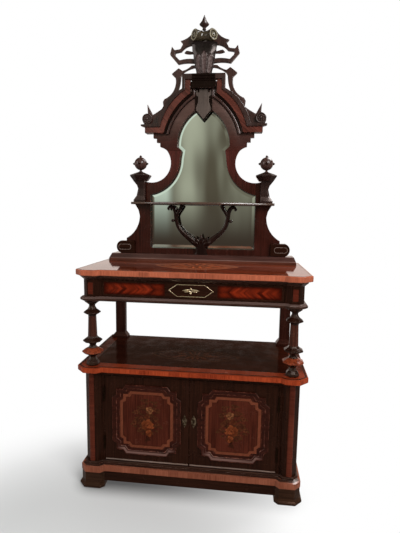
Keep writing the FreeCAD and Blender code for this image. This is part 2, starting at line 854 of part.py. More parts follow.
def make_slip_bolt():
    """A bolt on the back of the left door that slides up behind the rail, in a guide."""
    x = ("-(slip_bolt_inset + slip_bolt_width)", "-slip_bolt_inset")
    y = (f"{DOOR_BACK} + slide_gap", f"{DOOR_BACK} + slide_gap + slip_bolt_depth")
    head = f"{DOOR_HEAD} - slip_bolt_drop"
    bar = box("slip_bar", x, y, (f"{head} - slip_bolt_length", head))
    knob = rod("slip_knob", "slip_knob_radius", "slip_knob_length",
               "-(slip_bolt_inset + slip_bolt_width / 2)",
               f"{DOOR_BACK} + slip_bolt_depth / 2 + slip_knob_length",
               f"{head} - slip_bolt_length + slip_knob_radius")
    knob.Placement.Rotation = FORWARD
    piece("slip_bolt", fused("slip_bolt", [bar, knob]))
    guide_z = (f"{DOOR_HEAD} - slip_guide_drop - slip_guide_height", f"{DOOR_HEAD} - slip_guide_drop")
    shell = box("guide_blank", (f"{x[0]} - slip_guide_wall", f"{x[1]} + slip_guide_wall"),
                (DOOR_BACK, f"{y[1]} + slip_guide_wall"), guide_z)
    channel = box("guide_channel", (f"{x[0]} - slide_gap", f"{x[1]} + slide_gap"),
                  (DOOR_BACK, f"{y[1]} + slide_gap"), guide_z)
    piece("slip_bolt_guide", cut("slip_bolt_guide", shell, [channel]))


def make_columns():
    """Faceted columns from the shelf to the frieze: bell, disc, ring, shaft, ring and cap."""
    turning = (
        (0, "column_bell_radius - edge_bevel"),
        (0.02, "column_bell_radius"),
        (0.05, "column_bell_radius - edge_bevel"),
        (0.085, "column_neck_radius * 1.35"),
        (0.125, "column_neck_radius"),
        (0.15, "column_neck_radius * 1.2"),
        (0.205, "column_disc_radius"),
        (0.225, "column_disc_radius"),
        (0.275, "column_neck_radius * 1.5"),
        (0.31, "column_neck_radius"),
        (0.345, "column_neck_radius * 1.4"),
        (0.375, "column_lower_ring_radius"),
        (0.395, "column_lower_ring_radius"),
        (0.43, "column_shaft_foot_radius * 1.25"),
        (0.455, "column_shaft_foot_radius"),
        (0.765, "column_shaft_radius"),
        (0.785, "column_shaft_radius * 1.1"),
        (0.815, "column_upper_ring_radius"),
        (0.83, "column_upper_ring_radius"),
        (0.875, "column_neck_radius * 1.45"),
        (0.915, "column_neck_radius"),
        (0.94, "column_neck_radius"),
        (0.985, "column_cap_radius"),
        (1, "column_cap_radius"),
    )
    rise = f"({FRIEZE_FOOT} - waist_height)"
    sections = [(f"waist_height + {rise} * {share}", radius) for share, radius in turning]
    columns = [
        faceted("column", f"{side} * (top_width / 2 - column_inset)", f"{FRONT} + column_setback",
                sections)
        for side in SIDES.values()
    ]
    group("columns", columns)
    pilasters = []
    for side in SIDES.values():
        def plan(grow):
            centre = "top_width / 2 - pilaster_inset"
            across = sided(side, f"{centre} - pilaster_width / 2 - {grow}",
                           f"{centre} + pilaster_width / 2 + {grow}")
            rear = f"{BACK} - pilaster_back_gap"
            return rectangle(across, (f"{rear} - pilaster_depth - {grow}", rear))
        pilasters.append(stack("pilaster", [
            ("waist_height", plan("pilaster_flare")),
            ("waist_height + pilaster_flare_height * 0.3", plan("pilaster_flare")),
            ("waist_height + pilaster_flare_height", plan("0")),
            (FRIEZE_FOOT, plan("0")),
        ]))
    group("rear_pilasters", pilasters)


def make_frieze():
    lip = "frieze_lip_inset"
    hollow = f"{lip} + frieze_lip_cove"
    piece("frieze_base", stack("frieze_base", [
        (FRIEZE_FOOT, outline(TOP_PLAN, hollow)),
        (f"{FRIEZE_FOOT} + frieze_base_height * 0.25", outline(TOP_PLAN, lip)),
        (f"{FRIEZE_FOOT} + frieze_base_height * 0.65", outline(TOP_PLAN, lip)),
        (FRIEZE_FLOOR, outline(TOP_PLAN, hollow)),
    ]))
    blocks = [
        board("frieze_block", FRIEZE_FLOOR, FRIEZE_HEAD, on_side(side, post_plan(DRAWER_EDGE)))
        for side in SIDES.values()
    ]
    group("frieze_blocks", blocks)
    levels = (FRIEZE_FLOOR, FRIEZE_HEAD)
    walls = [
        box("frieze_side", sided(side, f"{WALL} - side_thickness", WALL), (POST_BACK, BACK), levels)
        for side in SIDES.values()
    ]
    inside = f"({WALL} - side_thickness)"
    walls.append(box("frieze_rear", (f"-{inside}", inside), (f"{BACK} - back_thickness", BACK), levels))
    group("frieze_walls", walls)
    crown = stack("frieze_crown", [
        (FRIEZE_HEAD, outline(TOP_PLAN, "carcase_inset")),
        (f"{TOP_UNDER} - frieze_frame_height / 3", outline(TOP_PLAN, "frieze_frame_inset")),
        (TOP_UNDER, outline(TOP_PLAN, "frieze_frame_inset")),
    ])
    well = box("crown_well", (f"-{DRAWER_EDGE}", DRAWER_EDGE),
               (f"{MAIN} + rail_thickness", f"{BACK} - rail_thickness"), (FRIEZE_HEAD, TOP_UNDER))
    piece("frieze_frame", cut("frieze_frame", crown, [well]))
    piece("top_board", bevelled_board("top_board", TOP_UNDER, "table_height"))


def make_drawer():
    half_front = f"({DRAWER_EDGE} - drawer_gap)"
    front_blank = box("drawer_front_blank", (f"-{half_front}", half_front), (MAIN, DRAWER_BACK),
                      (DRAWER_FOOT, DRAWER_HEAD))
    centre = f"(({DRAWER_FOOT} + {DRAWER_HEAD}) / 2)"
    keyhole = rod("drawer_keyhole", "keyhole_radius", "drawer_front_thickness", "0", DRAWER_BACK,
                  centre)
    keyhole.Placement.Rotation = FORWARD
    piece("drawer_front", cut("drawer_front", front_blank, [keyhole]))
    rear = f"({BACK} - back_thickness - drawer_back_gap)"
    wall_z = (DRAWER_WALL_FOOT, f"{DRAWER_WALL_FOOT} + drawer_wall_height")
    sides = [
        box("drawer_side", sided(side, f"{DRAWER_SIDE} - drawer_wall", DRAWER_SIDE),
            (DRAWER_BACK, rear), wall_z)
        for side in SIDES.values()
    ]
    inside = f"({DRAWER_SIDE} - drawer_wall)"
    end = box("drawer_end", (f"-{inside}", inside), (f"{rear} - drawer_wall", rear), wall_z)
    group("drawer_walls", [*sides, end])
    bottom_z = (f"{DRAWER_WALL_FOOT} + drawer_bottom_rise",
                f"{DRAWER_WALL_FOOT} + drawer_bottom_rise + drawer_bottom_thickness")
    piece("drawer_bottom",
          box("drawer_bottom", (f"-{inside}", inside), (DRAWER_BACK, f"{rear} - drawer_wall"),
              bottom_z))
    make_drawer_brass(centre)
    make_drawer_lock()


def drawer_runners():
    """A strip under each drawer side, and a guide beside it that stands off by the running gap."""
    runners = []
    for side in SIDES.values():
        outer = f"{DRAWER_SIDE} + slide_gap"
        length = (POST_BACK, f"{BACK} - back_thickness")
        strip = box("runner_strip", sided(side, f"{DRAWER_SIDE} - drawer_wall", f"{outer} + runner_width"),
                    length, (FRIEZE_FLOOR, f"{FRIEZE_FLOOR} + runner_height"))
        guide = box("runner_guide", sided(side, outer, f"{outer} + runner_width"), length,
                    (FRIEZE_FLOOR, f"{FRIEZE_FLOOR} + runner_height + guide_height"))
        runners.append(fused("runner", [strip, guide]))
    return runners


def make_drawer_brass(centre):
    """The six-sided cartouche line and the winged keyhole ornament."""
    def six_sides(draw_in):
        return [
            (f"cartouche_half_length - {draw_in} * 1.6", centre),
            (f"cartouche_shoulder - {draw_in} * 0.6", f"{centre} + cartouche_half_height - {draw_in}"),
            (f"-(cartouche_shoulder - {draw_in} * 0.6)",
             f"{centre} + cartouche_half_height - {draw_in}"),
            (f"-(cartouche_half_length - {draw_in} * 1.6)", centre),
            (f"-(cartouche_shoulder - {draw_in} * 0.6)",
             f"{centre} - cartouche_half_height + {draw_in}"),
            (f"cartouche_shoulder - {draw_in} * 0.6", f"{centre} - cartouche_half_height + {draw_in}"),
        ]
    line = fret("cartouche", f"{MAIN} - cartouche_thickness", MAIN, six_sides("0"),
                six_sides("cartouche_line"))
    wings = [
        ("ornament_half_length", centre),
        ("ornament_boss", f"{centre} + ornament_half_height / 3"),
        ("-ornament_boss", f"{centre} + ornament_half_height / 3", "0",
         f"{centre} + ornament_half_height"),
        ("-ornament_half_length", centre),
        ("-ornament_boss", f"{centre} - ornament_half_height / 3"),
        ("ornament_boss", f"{centre} - ornament_half_height / 3", "0",
         f"{centre} - ornament_half_height"),
    ]
    plate = fret("ornament_blank", f"{MAIN} - cartouche_thickness", MAIN, wings)
    hole = rod("ornament_hole", "keyhole_radius", "cartouche_thickness", "0", MAIN, centre)
    hole.Placement.Rotation = FORWARD
    group("drawer_brasses", [line, cut("ornament", plate, [hole])])


def make_drawer_lock():
    """A lock on the back of the drawer front, whose bolt rises behind the frame over the drawer."""
    half = "drawer_lock_width / 2"
    case_z = (f"{DRAWER_HEAD} - drawer_lock_drop - drawer_lock_height",
              f"{DRAWER_HEAD} - drawer_lock_drop")
    bolt_y = (f"{DRAWER_BACK} + bolt_back_gap", f"{DRAWER_BACK} + bolt_back_gap + bolt_depth")
    bolt_x = ("-drawer_bolt_width / 2", "drawer_bolt_width / 2")
    bolt_z = (f"{case_z[1]} - drawer_bolt_length", case_z[1])
    case = box("drawer_lock_blank", (f"-{half}", half),
               (DRAWER_BACK, f"{DRAWER_BACK} + drawer_lock_depth"), case_z)
    channel = box("drawer_lock_channel", (f"{bolt_x[0]} - slide_gap", f"{bolt_x[1]} + slide_gap"),
                  (f"{bolt_y[0]} - slide_gap", f"{bolt_y[1]} + slide_gap"),
                  (f"{bolt_z[0]} - slide_gap", bolt_z[1]))
    piece("drawer_lock_case", cut("drawer_lock_case", case, [channel]))
    piece("drawer_lock_bolt", box("drawer_lock_bolt", bolt_x, bolt_y, bolt_z))


def above(level, height):
    """A height over a level, as a formula."""
    return f"{level} + {height}"


def frame_height(height):
    return above(MIRROR_FOOT, height)


def head_height(height):
    return above(CUSP, height)


def make_mirror_base():
    def plan(inset, depth):
        half = f"(top_width / 2 - mirror_base_inset - {inset})"
        return rectangle((f"-{half}", half), (f"{BACK} - {depth}", BACK))
    piece("mirror_base", stack("mirror_base", [
        ("table_height", plan("0", "mirror_base_depth")),
        ("table_height + mirror_base_step", plan("0", "mirror_base_depth")),
        (MIRROR_FOOT, plan("mirror_base_slope", "mirror_base_top_depth")),
    ]))


def make_mirror_frame():
    """Two fretted stiles and the sight rail between them."""
    stile = [
        ("sight_half_width", MIRROR_FOOT),
        ("(sight_half_width + stile_foot_reach)", MIRROR_FOOT),
        ("(sight_half_width + stile_foot_reach)", frame_height("stile_toe_height")),
        ("(sight_half_width + stile_toe_reach)", frame_height("stile_toe_height")),
        ("(sight_half_width + stile_toe_reach)",
         frame_height("stile_toe_height + stile_toe_thickness")),
        ("(sight_half_width + stile_waist_reach)", frame_height("stile_waist_height"),
         "(sight_half_width + stile_hollow_reach)", frame_height("stile_hollow_height")),
        ("(sight_half_width + stile_corbel_reach)", frame_height("stile_corbel_height")),
        ("(sight_half_width + shelf_shoulder_reach)", frame_height("shelf_height")),
        ("(sight_half_width + shoulder_reach)", frame_height("shelf_height")),
        ("(sight_half_width + shoulder_reach)", SHOULDER),
        ("(cusp_half_width + neck_reach)", CUSP, "(cusp_half_width + hollow_reach)",
         head_height("-hollow_drop")),
        ("cusp_half_width", CUSP),
        ("(cusp_half_width + sight_waist_reach)", head_height("-sight_waist_drop")),
        ("sight_half_width", head_height("-sight_shoulder_drop"),
         "(cusp_half_width + sight_bow_reach)", head_height("-sight_bow_drop")),
    ]
    scroll_top = frame_height("stile_toe_height")
    scroll = [
        ("(sight_half_width + stile_foot_reach)", MIRROR_FOOT),
        ("(sight_half_width + scroll_round_reach)", MIRROR_FOOT),
        ("(sight_half_width + scroll_round_reach)", scroll_top, "(sight_half_width + scroll_reach)",
         f"({MIRROR_FOOT} + {scroll_top}) / 2"),
        ("(sight_half_width + stile_foot_reach)", scroll_top),
    ]
    stiles = []
    scrolls = []
    for side in SIDES.values():
        stiles.append(fret("mirror_stile", FRAME_FRONT, FRAME_BACK, on_side(side, stile)))
        scrolls.append(fret("frame_scroll", f"{FRAME_FRONT} - scroll_projection", FRAME_BACK,
                            on_side(side, scroll)))
    group("mirror_frame_stiles", stiles)
    group("frame_scrolls", scrolls)
    piece("mirror_frame_rail", box("mirror_frame_rail", ("-sight_half_width", "sight_half_width"),
                                   (FRAME_FRONT, FRAME_BACK),
                                   (MIRROR_FOOT, frame_height("sight_bottom"))))


def make_mirror_head():
    """The arched head, with stepped corbels under the cornice."""
    stub_foot = head_height("cornice_stub_bottom")
    stub_head = head_height("cornice_stub_bottom + cornice_stub_height - head_margin")
    half = [
        ("0", head_height("arch_apex_height")),
        ("(cusp_half_width + arch_foot_reach)", head_height("arch_foot_height"),
         "(cusp_half_width + arch_bow_reach)", head_height("arch_bow_height")),
        ("cusp_half_width", CUSP),
        ("(cusp_half_width + neck_reach)", CUSP),
        ("(cusp_half_width + head_step_reach)", head_height("head_step_height"),
         "(cusp_half_width + head_hollow_reach)", head_height("head_hollow_height")),
        ("(cusp_half_width + head_step_reach)", head_height("head_step_height + head_step_rise")),
        ("(cusp_half_width + head_step_reach) + head_step_run",
         head_height("head_step_height + head_step_rise")),
        ("(cusp_half_width + head_step_reach) + head_step_run",
         head_height("head_step_height + 2 * head_step_rise")),
        ("(cusp_half_width + head_step_reach) + 2 * head_step_run",
         head_height("head_step_height + 2 * head_step_rise")),
        ("(cusp_half_width + head_step_reach) + 2 * head_step_run", stub_foot),
        ("(cusp_half_width + cornice_stub_reach) - head_margin", stub_foot),
        ("(cusp_half_width + cornice_stub_reach) - head_margin", stub_head),
        ("(cusp_half_width + band_outer_reach)", stub_head),
        ("band_outer_top_half_width - head_margin", head_height("band_outer_top_height - head_margin"),
         "(cusp_half_width + band_outer_bow_reach) - head_margin",
         head_height("band_outer_bow_height - head_margin")),
        ("band_outer_top_half_width - head_margin", head_height("band_top_height - head_margin")),
    ]
    piece("mirror_frame_head", fret("mirror_frame_head", FRAME_FRONT, FRAME_BACK, mirrored(half)))


def make_cornice():
    """The red band with its straight stubs and bowed rakes, and the black moulding over it."""
    stub_foot = head_height("cornice_stub_bottom")
    stub_head = head_height("cornice_stub_bottom + cornice_stub_height")
    rise = [
        ("(cusp_half_width + cornice_stub_reach)", stub_head),
        ("(cusp_half_width + band_outer_reach)", stub_head),
        ("band_outer_top_half_width", head_height("band_outer_top_height"),
         "(cusp_half_width + band_outer_bow_reach)", head_height("band_outer_bow_height")),
        ("band_outer_top_half_width", head_height("band_top_height")),
    ]
    band = [
        ("(cusp_half_width + cornice_stub_reach)", stub_foot),
        *rise,
        ("band_inner_top_half_width", head_height("band_top_height")),
        ("band_inner_top_half_width", head_height("band_inner_top_height")),
        ("(cusp_half_width + band_inner_reach)", stub_foot,
         "(cusp_half_width + band_inner_bow_reach)", head_height("band_inner_bow_height")),
    ]
    bands = [fret("cornice_band", f"{FRAME_FRONT} - band_depth", FRAME_FRONT, on_side(side, band))
             for side in SIDES.values()]
    group("cornice_bands", bands)
    lip = head_height("cornice_stub_bottom + cornice_stub_height + cornice_lip_height")
    corbel_foot = head_height("band_top_height - corbel_height")
    half = [
        ("corbel_half_width", corbel_foot),
        ("corbel_half_width", head_height("band_top_height")),
        ("band_outer_top_half_width", head_height("band_top_height")),
        ("band_outer_top_half_width", head_height("band_outer_top_height")),
        ("(cusp_half_width + band_outer_reach)", stub_head,
         "(cusp_half_width + band_outer_bow_reach)", head_height("band_outer_bow_height")),
        ("(cusp_half_width + cornice_stub_reach)", stub_head),
        ("(cusp_half_width + cornice_stub_reach) + cornice_lip", f"({stub_head} + {lip}) / 2"),
        ("(cusp_half_width + cornice_stub_reach) + cornice_lip", lip),
        ("(cusp_half_width + rake_reach)", head_height("rake_height")),
        ("rake_top_half_width", head_height("rake_top_height"),
         "(cusp_half_width + rake_bow_reach)", head_height("rake_bow_height")),
        ("rake_top_half_width", head_height("cornice_top_height")),
    ]
    piece("cornice", fret("cornice", f"{FRAME_FRONT} - cornice_depth", FRAME_FRONT, mirrored(half)))


def make_keystone():
    """A stepped keystone over the arch's point, ending in a pendant."""
    half = [
        ("0", head_height("keystone_tip_height")),
        ("keystone_tip_half_width", head_height("keystone_tip_height + keystone_tip_half_width")),
        ("keystone_half_width", head_height("keystone_notch_height")),
        ("keystone_half_width", head_height("keystone_step_height")),
        ("keystone_half_width - keystone_step", head_height("keystone_step_height")),
        ("keystone_half_width - keystone_step", head_height("band_top_height - corbel_height")),
    ]
    piece("keystone", fret("keystone", f"{FRAME_FRONT} - keystone_thickness", FRAME_FRONT,
                           mirrored(half)))


def glass_path(grow):
    """The outline of the glass, drawn out from the sight by a margin."""
    half = [
        (f"sight_half_width + {grow}", frame_height(f"sight_bottom - ({grow})")),
        (f"sight_half_width + {grow}", head_height(f"-sight_shoulder_drop + {grow}")),
        (f"(cusp_half_width + sight_waist_reach) + {grow}", head_height(f"-sight_waist_drop + {grow}"),
         f"(cusp_half_width + sight_bow_reach) + {grow}", head_height(f"-sight_bow_drop + {grow}")),
        (f"(cusp_half_width + sight_waist_reach) + {grow}", CUSP),
        (f"(cusp_half_width + arch_foot_reach) + {grow}", head_height("arch_foot_height")),
        ("0", head_height(f"arch_apex_height + {grow}"),
         f"(cusp_half_width + arch_bow_reach) + {grow}", head_height(f"arch_bow_height + {grow}")),
    ]
    return mirrored(half)


def make_glass():
    """The plate behind the frame, and the board with a shallow recess that holds it."""
    glass_back = f"{FRAME_BACK} + glass_thickness"
    piece("mirror_glass", fret("mirror_glass", FRAME_BACK, glass_back, glass_path("glass_margin")))
    blank = fret("backboard_blank", FRAME_BACK, f"{FRAME_BACK} + backboard_thickness",
                 glass_path("(glass_margin + backboard_margin)"))
    recess = fret("backboard_recess", FRAME_BACK, glass_back, glass_path("glass_margin"))
    piece("mirror_backboard", cut("mirror_backboard", blank, [recess]))


def make_shelf():
    """A thin shelf with a serpentine front, and the lyre bracket, split at its ends, under its middle."""
    end = f"{FRAME_FRONT} - shelf_end_depth"
    half = [
        ("(sight_half_width + shoulder_reach)", FRAME_FRONT),
        ("(sight_half_width + shoulder_reach)", FRAME_BACK),
        ("(sight_half_width + shelf_reach)", FRAME_BACK),
        ("(sight_half_width + shelf_reach)", end),
        ("(sight_half_width - shelf_wing_inset)", f"{FRAME_FRONT} - shelf_wing_depth",
         "(sight_half_width + shelf_hollow_reach)", f"{FRAME_FRONT} - shelf_hollow_depth"),
    ]
    whole = mirrored(half)
    wing_x, wing_y = whole[len(half)][:2]
    whole[len(half)] = (wing_x, wing_y, "0", f"{FRAME_FRONT} - shelf_centre_depth")
    piece("mirror_shelf", board("mirror_shelf", frame_height("shelf_height"), SHELF_TOP, whole))
    under = frame_height("shelf_height")
    arm = "bracket_arm_width"
    split = "bracket_split_half_width"
    half = [
        ("bracket_stem_half_width", MIRROR_FOOT),
        ("bracket_stem_half_width", frame_height("bracket_stem_height")),
        ("bracket_waist_half_width", frame_height("bracket_waist_height"),
         "bracket_arm_half_width", frame_height("bracket_arm_height")),
        (f"bracket_curl_half_width - {arm} / 2", f"{under} - bracket_curl_drop"),
        ("bracket_curl_half_width", f"{under} - bracket_curl_drop / 2"),
        (f"bracket_curl_half_width - {arm} / 2", under),
        (f"{split} + bracket_split_width / 2", under),
        (split, f"{under} - bracket_split_drop"),
        (f"{split} - bracket_split_width / 2", under),
        (f"{split} - bracket_split_width / 2 - {arm}", under),
        (f"bracket_waist_half_width - {arm}", frame_height("bracket_waist_height")),
        ("0", frame_height("bracket_fork_height"),
         f"bracket_arm_half_width - {arm} * 1.4", frame_height(f"bracket_arm_height + {arm} / 2")),
    ]
    rear = f"{FRAME_FRONT} - bracket_wall_gap"
    piece("shelf_bracket", fret("shelf_bracket", f"{rear} - bracket_thickness", rear, mirrored(half)))


def make_pedestals():
    """Hollow-sided pedestals at the shelf's ends, each with a faceted cap and a turned ball."""
    cap_foot = f"{SHOULDER} + pedestal_cap_gap"
    cap_head = f"{cap_foot} + pedestal_cap_height"
    ball_foot = f"{cap_head} + pedestal_cap_edge + pedestal_dome"
    axis = "(sight_half_width + pedestal_reach)"
    depth = f"{FRAME_FRONT} - pedestal_offset"

    def plan(out, front):
        """From the stile out to the hollow side, with a chamfered front corner."""
        inner, outer = "(sight_half_width + shoulder_reach)", f"({axis} + {out})"
        nose = f"({FRAME_FRONT} - {front})"
        return [(inner, FRAME_BACK), (outer, FRAME_BACK), (outer, f"{nose} + pedestal_chamfer"),
                (f"{outer} - pedestal_chamfer", nose), (inner, nose)]

    foot = plan("pedestal_foot_out", "pedestal_foot_front")
    waist = plan("pedestal_waist_out", "pedestal_waist_front")
    shaft = (
        (SHELF_TOP, foot),
        (f"{SHELF_TOP} + pedestal_foot_height", foot),
        (f"{SHELF_TOP} + pedestal_foot_height + pedestal_foot_slope",
         plan("(pedestal_foot_out + 2 * pedestal_waist_out) / 3",
              "(pedestal_foot_front + 2 * pedestal_waist_front) / 3")),
        (f"{SHELF_TOP} + pedestal_waist_height", waist),
        (f"{cap_foot} - pedestal_foot_slope",
         plan("(pedestal_neck_out + 3 * pedestal_waist_out) / 4",
              "(pedestal_neck_front + 3 * pedestal_waist_front) / 4")),
        (cap_foot, plan("pedestal_neck_out", "pedestal_neck_front")),
    )
    cap = (
        (cap_foot, "pedestal_neck_radius"),
        (cap_head, "pedestal_cap_radius"),
        (f"{cap_head} + pedestal_cap_edge", "pedestal_cap_radius"),
        (ball_foot, "pedestal_top_radius"),
    )
    centre = "(ball_neck_height + ball_radius)"
    profile = [
        ("0", "0"),
        ("pedestal_top_radius", "0"),
        ("ball_neck_radius", "ball_neck_height / 2"),
        ("ball_neck_radius", f"{centre} - sqrt(ball_radius ^ 2 - ball_neck_radius ^ 2)"),
        ("ball_neck_radius", f"{centre} + sqrt(ball_radius ^ 2 - ball_neck_radius ^ 2)", "ball_radius",
         centre),
        ("ball_knob_radius", f"{centre} + ball_radius + ball_knob_height / 2"),
        ("0", f"{centre} + ball_radius + ball_knob_height"),
    ]
    pedestals = []
    balls = []
    for side in SIDES.values():
        x = f"{side} * {axis}"
        pedestals.append(stack("pedestal", [(level, on_side(side, path)) for level, path in shaft]))
        pedestals.append(faceted("pedestal_cap", x, depth, cap))
        balls.append(turned("ball_finial", x, depth, ball_foot, profile))
    group("pedestals", pedestals)
    group("ball_finials", balls)


def crest_height(height):
    return above(CREST_FOOT, height)


def make_crest_fret():
    """Winged ears beside the shield, and scrolls that run down the rakes to the rosettes."""
    ear = [
        ("fret_root_half_width", crest_height("wing_root_height")),
        ("wing_root_half_width", crest_height("wing_root_height")),
        ("wing_tip_half_width", crest_height("wing_tip_height"),
         "wing_bow_half_width", crest_height("wing_bow_height")),
        ("wing_tip_half_width - strap_width", crest_height("wing_tip_height - strap_width")),
        ("wing_tip_half_width", crest_height("ear_tip_height - strap_width")),
        ("ear_tip_half_width - strap_width", crest_height("ear_tip_height - strap_width * 1.3")),
        ("ear_tip_half_width", crest_height("ear_tip_height")),
        ("ear_half_width", crest_height("ear_height")),
        ("ear_cusp_half_width", crest_height("ear_cusp_height")),
        ("fret_root_half_width", crest_height("ear_cusp_height - strap_width / 2"),
         "ear_cusp_half_width - 2 * strap_width", crest_height("ear_cusp_height + strap_width / 3")),
        ("fret_root_half_width", crest_height("ear_cusp_height + strap_width")),
        ("ear_cusp_half_width - strap_width / 2", crest_height("ear_cusp_height + strap_width * 1.4"),
         "ear_cusp_half_width - 2 * strap_width", crest_height("ear_cusp_height + strap_width * 1.7")),
        ("ear_half_width - 2 * strap_width", crest_height("ear_height - strap_width / 2")),
        ("ear_half_width - 2 * strap_width", crest_height("ear_height + strap_width / 2")),
        ("wing_tip_half_width - strap_width / 2", crest_height("ear_tip_height - strap_width * 1.9")),
        ("fret_root_half_width", crest_height("ear_tip_height - strap_width"),
         "wing_bow_half_width", crest_height("ear_tip_height")),
    ]
    lip = head_height("cornice_stub_bottom + cornice_stub_height + cornice_lip_height")
    volute = f"{lip} + 2 * rosette_radius"
    scroll = [
        ("fret_root_half_width", crest_height("ear_cusp_height - strap_width / 2")),
        ("shield_half_width", crest_height("ear_cusp_height - strap_width / 2")),
        ("diamond_half_width - 4 * strap_width", crest_height("diamond_height + strap_width"),
         "shield_half_width + strap_width", crest_height("diamond_height + 2 * strap_width")),
        ("diamond_half_width - 2.6 * strap_width", crest_height("diamond_height + 2 * strap_width")),
        ("diamond_half_width", crest_height("diamond_height")),
        ("diamond_half_width - 1.5 * strap_width", crest_height("diamond_height - 1.4 * strap_width")),
        ("(cusp_half_width + rake_bow_reach) + strap_width * 1.7",
         head_height("rake_bow_height + strap_width"),
         "diamond_half_width - strap_width / 2", head_height("rake_top_height - strap_width / 2")),
        ("(cusp_half_width + rake_bow_reach) + strap_width * 2.3", head_height("rake_bow_height")),
        ("(cusp_half_width + rake_bow_reach) + strap_width * 2",
         head_height("rake_bow_height - 2 * strap_width")),
        ("(cusp_half_width + rosette_reach) - horn_width", volute,
         "(cusp_half_width + rake_reach)", head_height("rake_height + 4.5 * strap_width")),
        ("(cusp_half_width + rosette_reach) + horn_lean", f"{volute} + horn_height"),
        ("(cusp_half_width + rosette_reach)", volute),
        ("(cusp_half_width + rosette_reach)", lip, "(cusp_half_width + rosette_reach) + rosette_radius",
         f"({volute} + {lip}) / 2"),
        ("(cusp_half_width + rake_reach)", head_height("rake_height")),
        ("(cusp_half_width + rake_bow_reach) - strap_width / 2",
         head_height("rake_bow_height - strap_width / 2"),
         "(cusp_half_width + rake_bow_reach) + 2 * strap_width",
         head_height("rake_bow_height - 3 * strap_width")),
        ("diamond_half_width - 3.5 * strap_width", crest_height("diamond_height - strap_width"),
         "rake_top_half_width + strap_width * 1.3", head_height("rake_top_height + strap_width")),
        ("diamond_half_width - 4 * strap_width", crest_height("diamond_height")),
        ("shield_half_width - strap_width", crest_height("ear_cusp_height - 1.3 * strap_width"),
         "shield_half_width + strap_width / 2", crest_height("diamond_height + 1.6 * strap_width")),
        ("fret_root_half_width", crest_height("ear_cusp_height - 1.3 * strap_width")),
    ]
    hook = [
        ("hook_root_half_width", crest_height("hook_height")),
        ("shield_half_width", crest_height("hook_height")),
        ("hook_half_width", crest_height("hook_height + hook_curl / 2"),
         "(shield_half_width + hook_half_width) / 2", crest_height("hook_height")),
        ("hook_half_width - hook_curl", crest_height("hook_height + 1.5 * hook_curl")),
        ("shield_half_width", crest_height("hook_height + hook_curl"),
         "(shield_half_width + hook_half_width) / 2", crest_height("hook_height + 1.4 * hook_curl")),
        ("hook_root_half_width", crest_height("hook_height + hook_curl")),
    ]
    frets = []
    for side in SIDES.values():
        back = f"{FRAME_FRONT} + fret_thickness"
        frets.append(fret("crest_ear", FRAME_FRONT, back, on_side(side, ear)))
        frets.append(fret("crest_scroll", FRAME_FRONT, back, on_side(side, scroll)))
        frets.append(fret("crest_hook", FRAME_FRONT, f"{FRAME_FRONT} + hook_thickness",
                          on_side(side, hook)))
    group("crest_fret", frets)
    rosettes = []
    for side in SIDES.values():
        disc = rod("rosette", "rosette_radius - 2 * seat_gap", "rosette_thickness",
                   f"{side} * (cusp_half_width + rosette_reach)",
                   FRAME_FRONT, f"({volute} + {lip}) / 2 + rosette_rise")
        disc.Placement.Rotation = FORWARD
        rosettes.append(disc)
    group("rosettes", rosettes)


def make_crest_centre():
    """The leaf-carved shield, the roll on it and the turned finial at the very top."""
    def plan(half_width, depth):
        return rectangle((f"-({half_width})", half_width), (f"{FRAME_FRONT} - ({depth})", FRAME_FRONT))
    piece("crest_shield", stack("crest_shield", [
        (CREST_FOOT, plan("shield_foot_half_width", "shield_foot_depth")),
        (crest_height("shield_height * 0.12"),
         plan("shield_foot_half_width * 1.06", "shield_foot_depth * 1.1")),
        (crest_height("shield_height * 0.55"), plan("shield_half_width * 0.9", "shield_depth * 0.8")),
        (crest_height("shield_height * 0.85"), plan("shield_half_width", "shield_depth")),
        (crest_height("shield_height"), plan("shield_half_width * 0.95", "shield_depth")),
    ]))
    roll = rod("crest_roll", "roll_radius", "2 * roll_half_length", "-roll_half_length", ROLL_DEPTH,
               ROLL_LEVEL)
    roll.Placement.Rotation = FreeCAD.Rotation(FreeCAD.Vector(0, 1, 0), 90)
    piece("crest_roll", roll)
    profile = [
        ("0", "0"),
        ("finial_neck_radius", "0"),
        ("finial_neck_radius", "finial_height * 0.1"),
        ("finial_radius", "finial_height * 0.38", "finial_radius * 0.72", "finial_height * 0.22"),
        ("finial_radius * 0.42", "finial_height * 0.6", "finial_radius * 0.72", "finial_height * 0.53"),
        ("0", "finial_height"),
    ]
    piece("crest_finial", turned("crest_finial", "0", ROLL_DEPTH,
                                 f"{ROLL_LEVEL} + roll_radius + seat_gap", profile))


def check_pieces():
    """Stop if any object failed or any sub-part has no valid solid."""
    failed = [item.Name for item in doc.Objects if {"Invalid", "Error"} & set(item.State)]
    for member in pieces:
        if member.Shape.isNull() or not member.Shape.isValid() or not member.Shape.Solids:
            failed.append(member.Label)
    if failed:
        raise RuntimeError(f"failed: {', '.join(failed)}")


make_feet()
make_plinth()
make_cupboard()
for door_name, door_side in SIDES.items():
    make_door(door_name, door_side)
make_hinges()
make_door_lock()
make_slip_bolt()
make_columns()
make_frieze()
make_drawer()
make_mirror_base()
make_mirror_frame()
make_mirror_head()
make_cornice()
make_keystone()
make_glass()
make_shelf()
make_pedestals()
make_crest_fret()
make_crest_centre()
doc.recompute()
check_pieces()

os.makedirs("parts", exist_ok=True)
for member in pieces:
    member.Shape.exportStep(f"parts/{member.Label}.step")
    print(f"{member.Label}: {len(member.Shape.Solids)} solids, {member.Shape.Volume / 1000:.1f} cm3")
print(f"{len(pieces)} nodes")
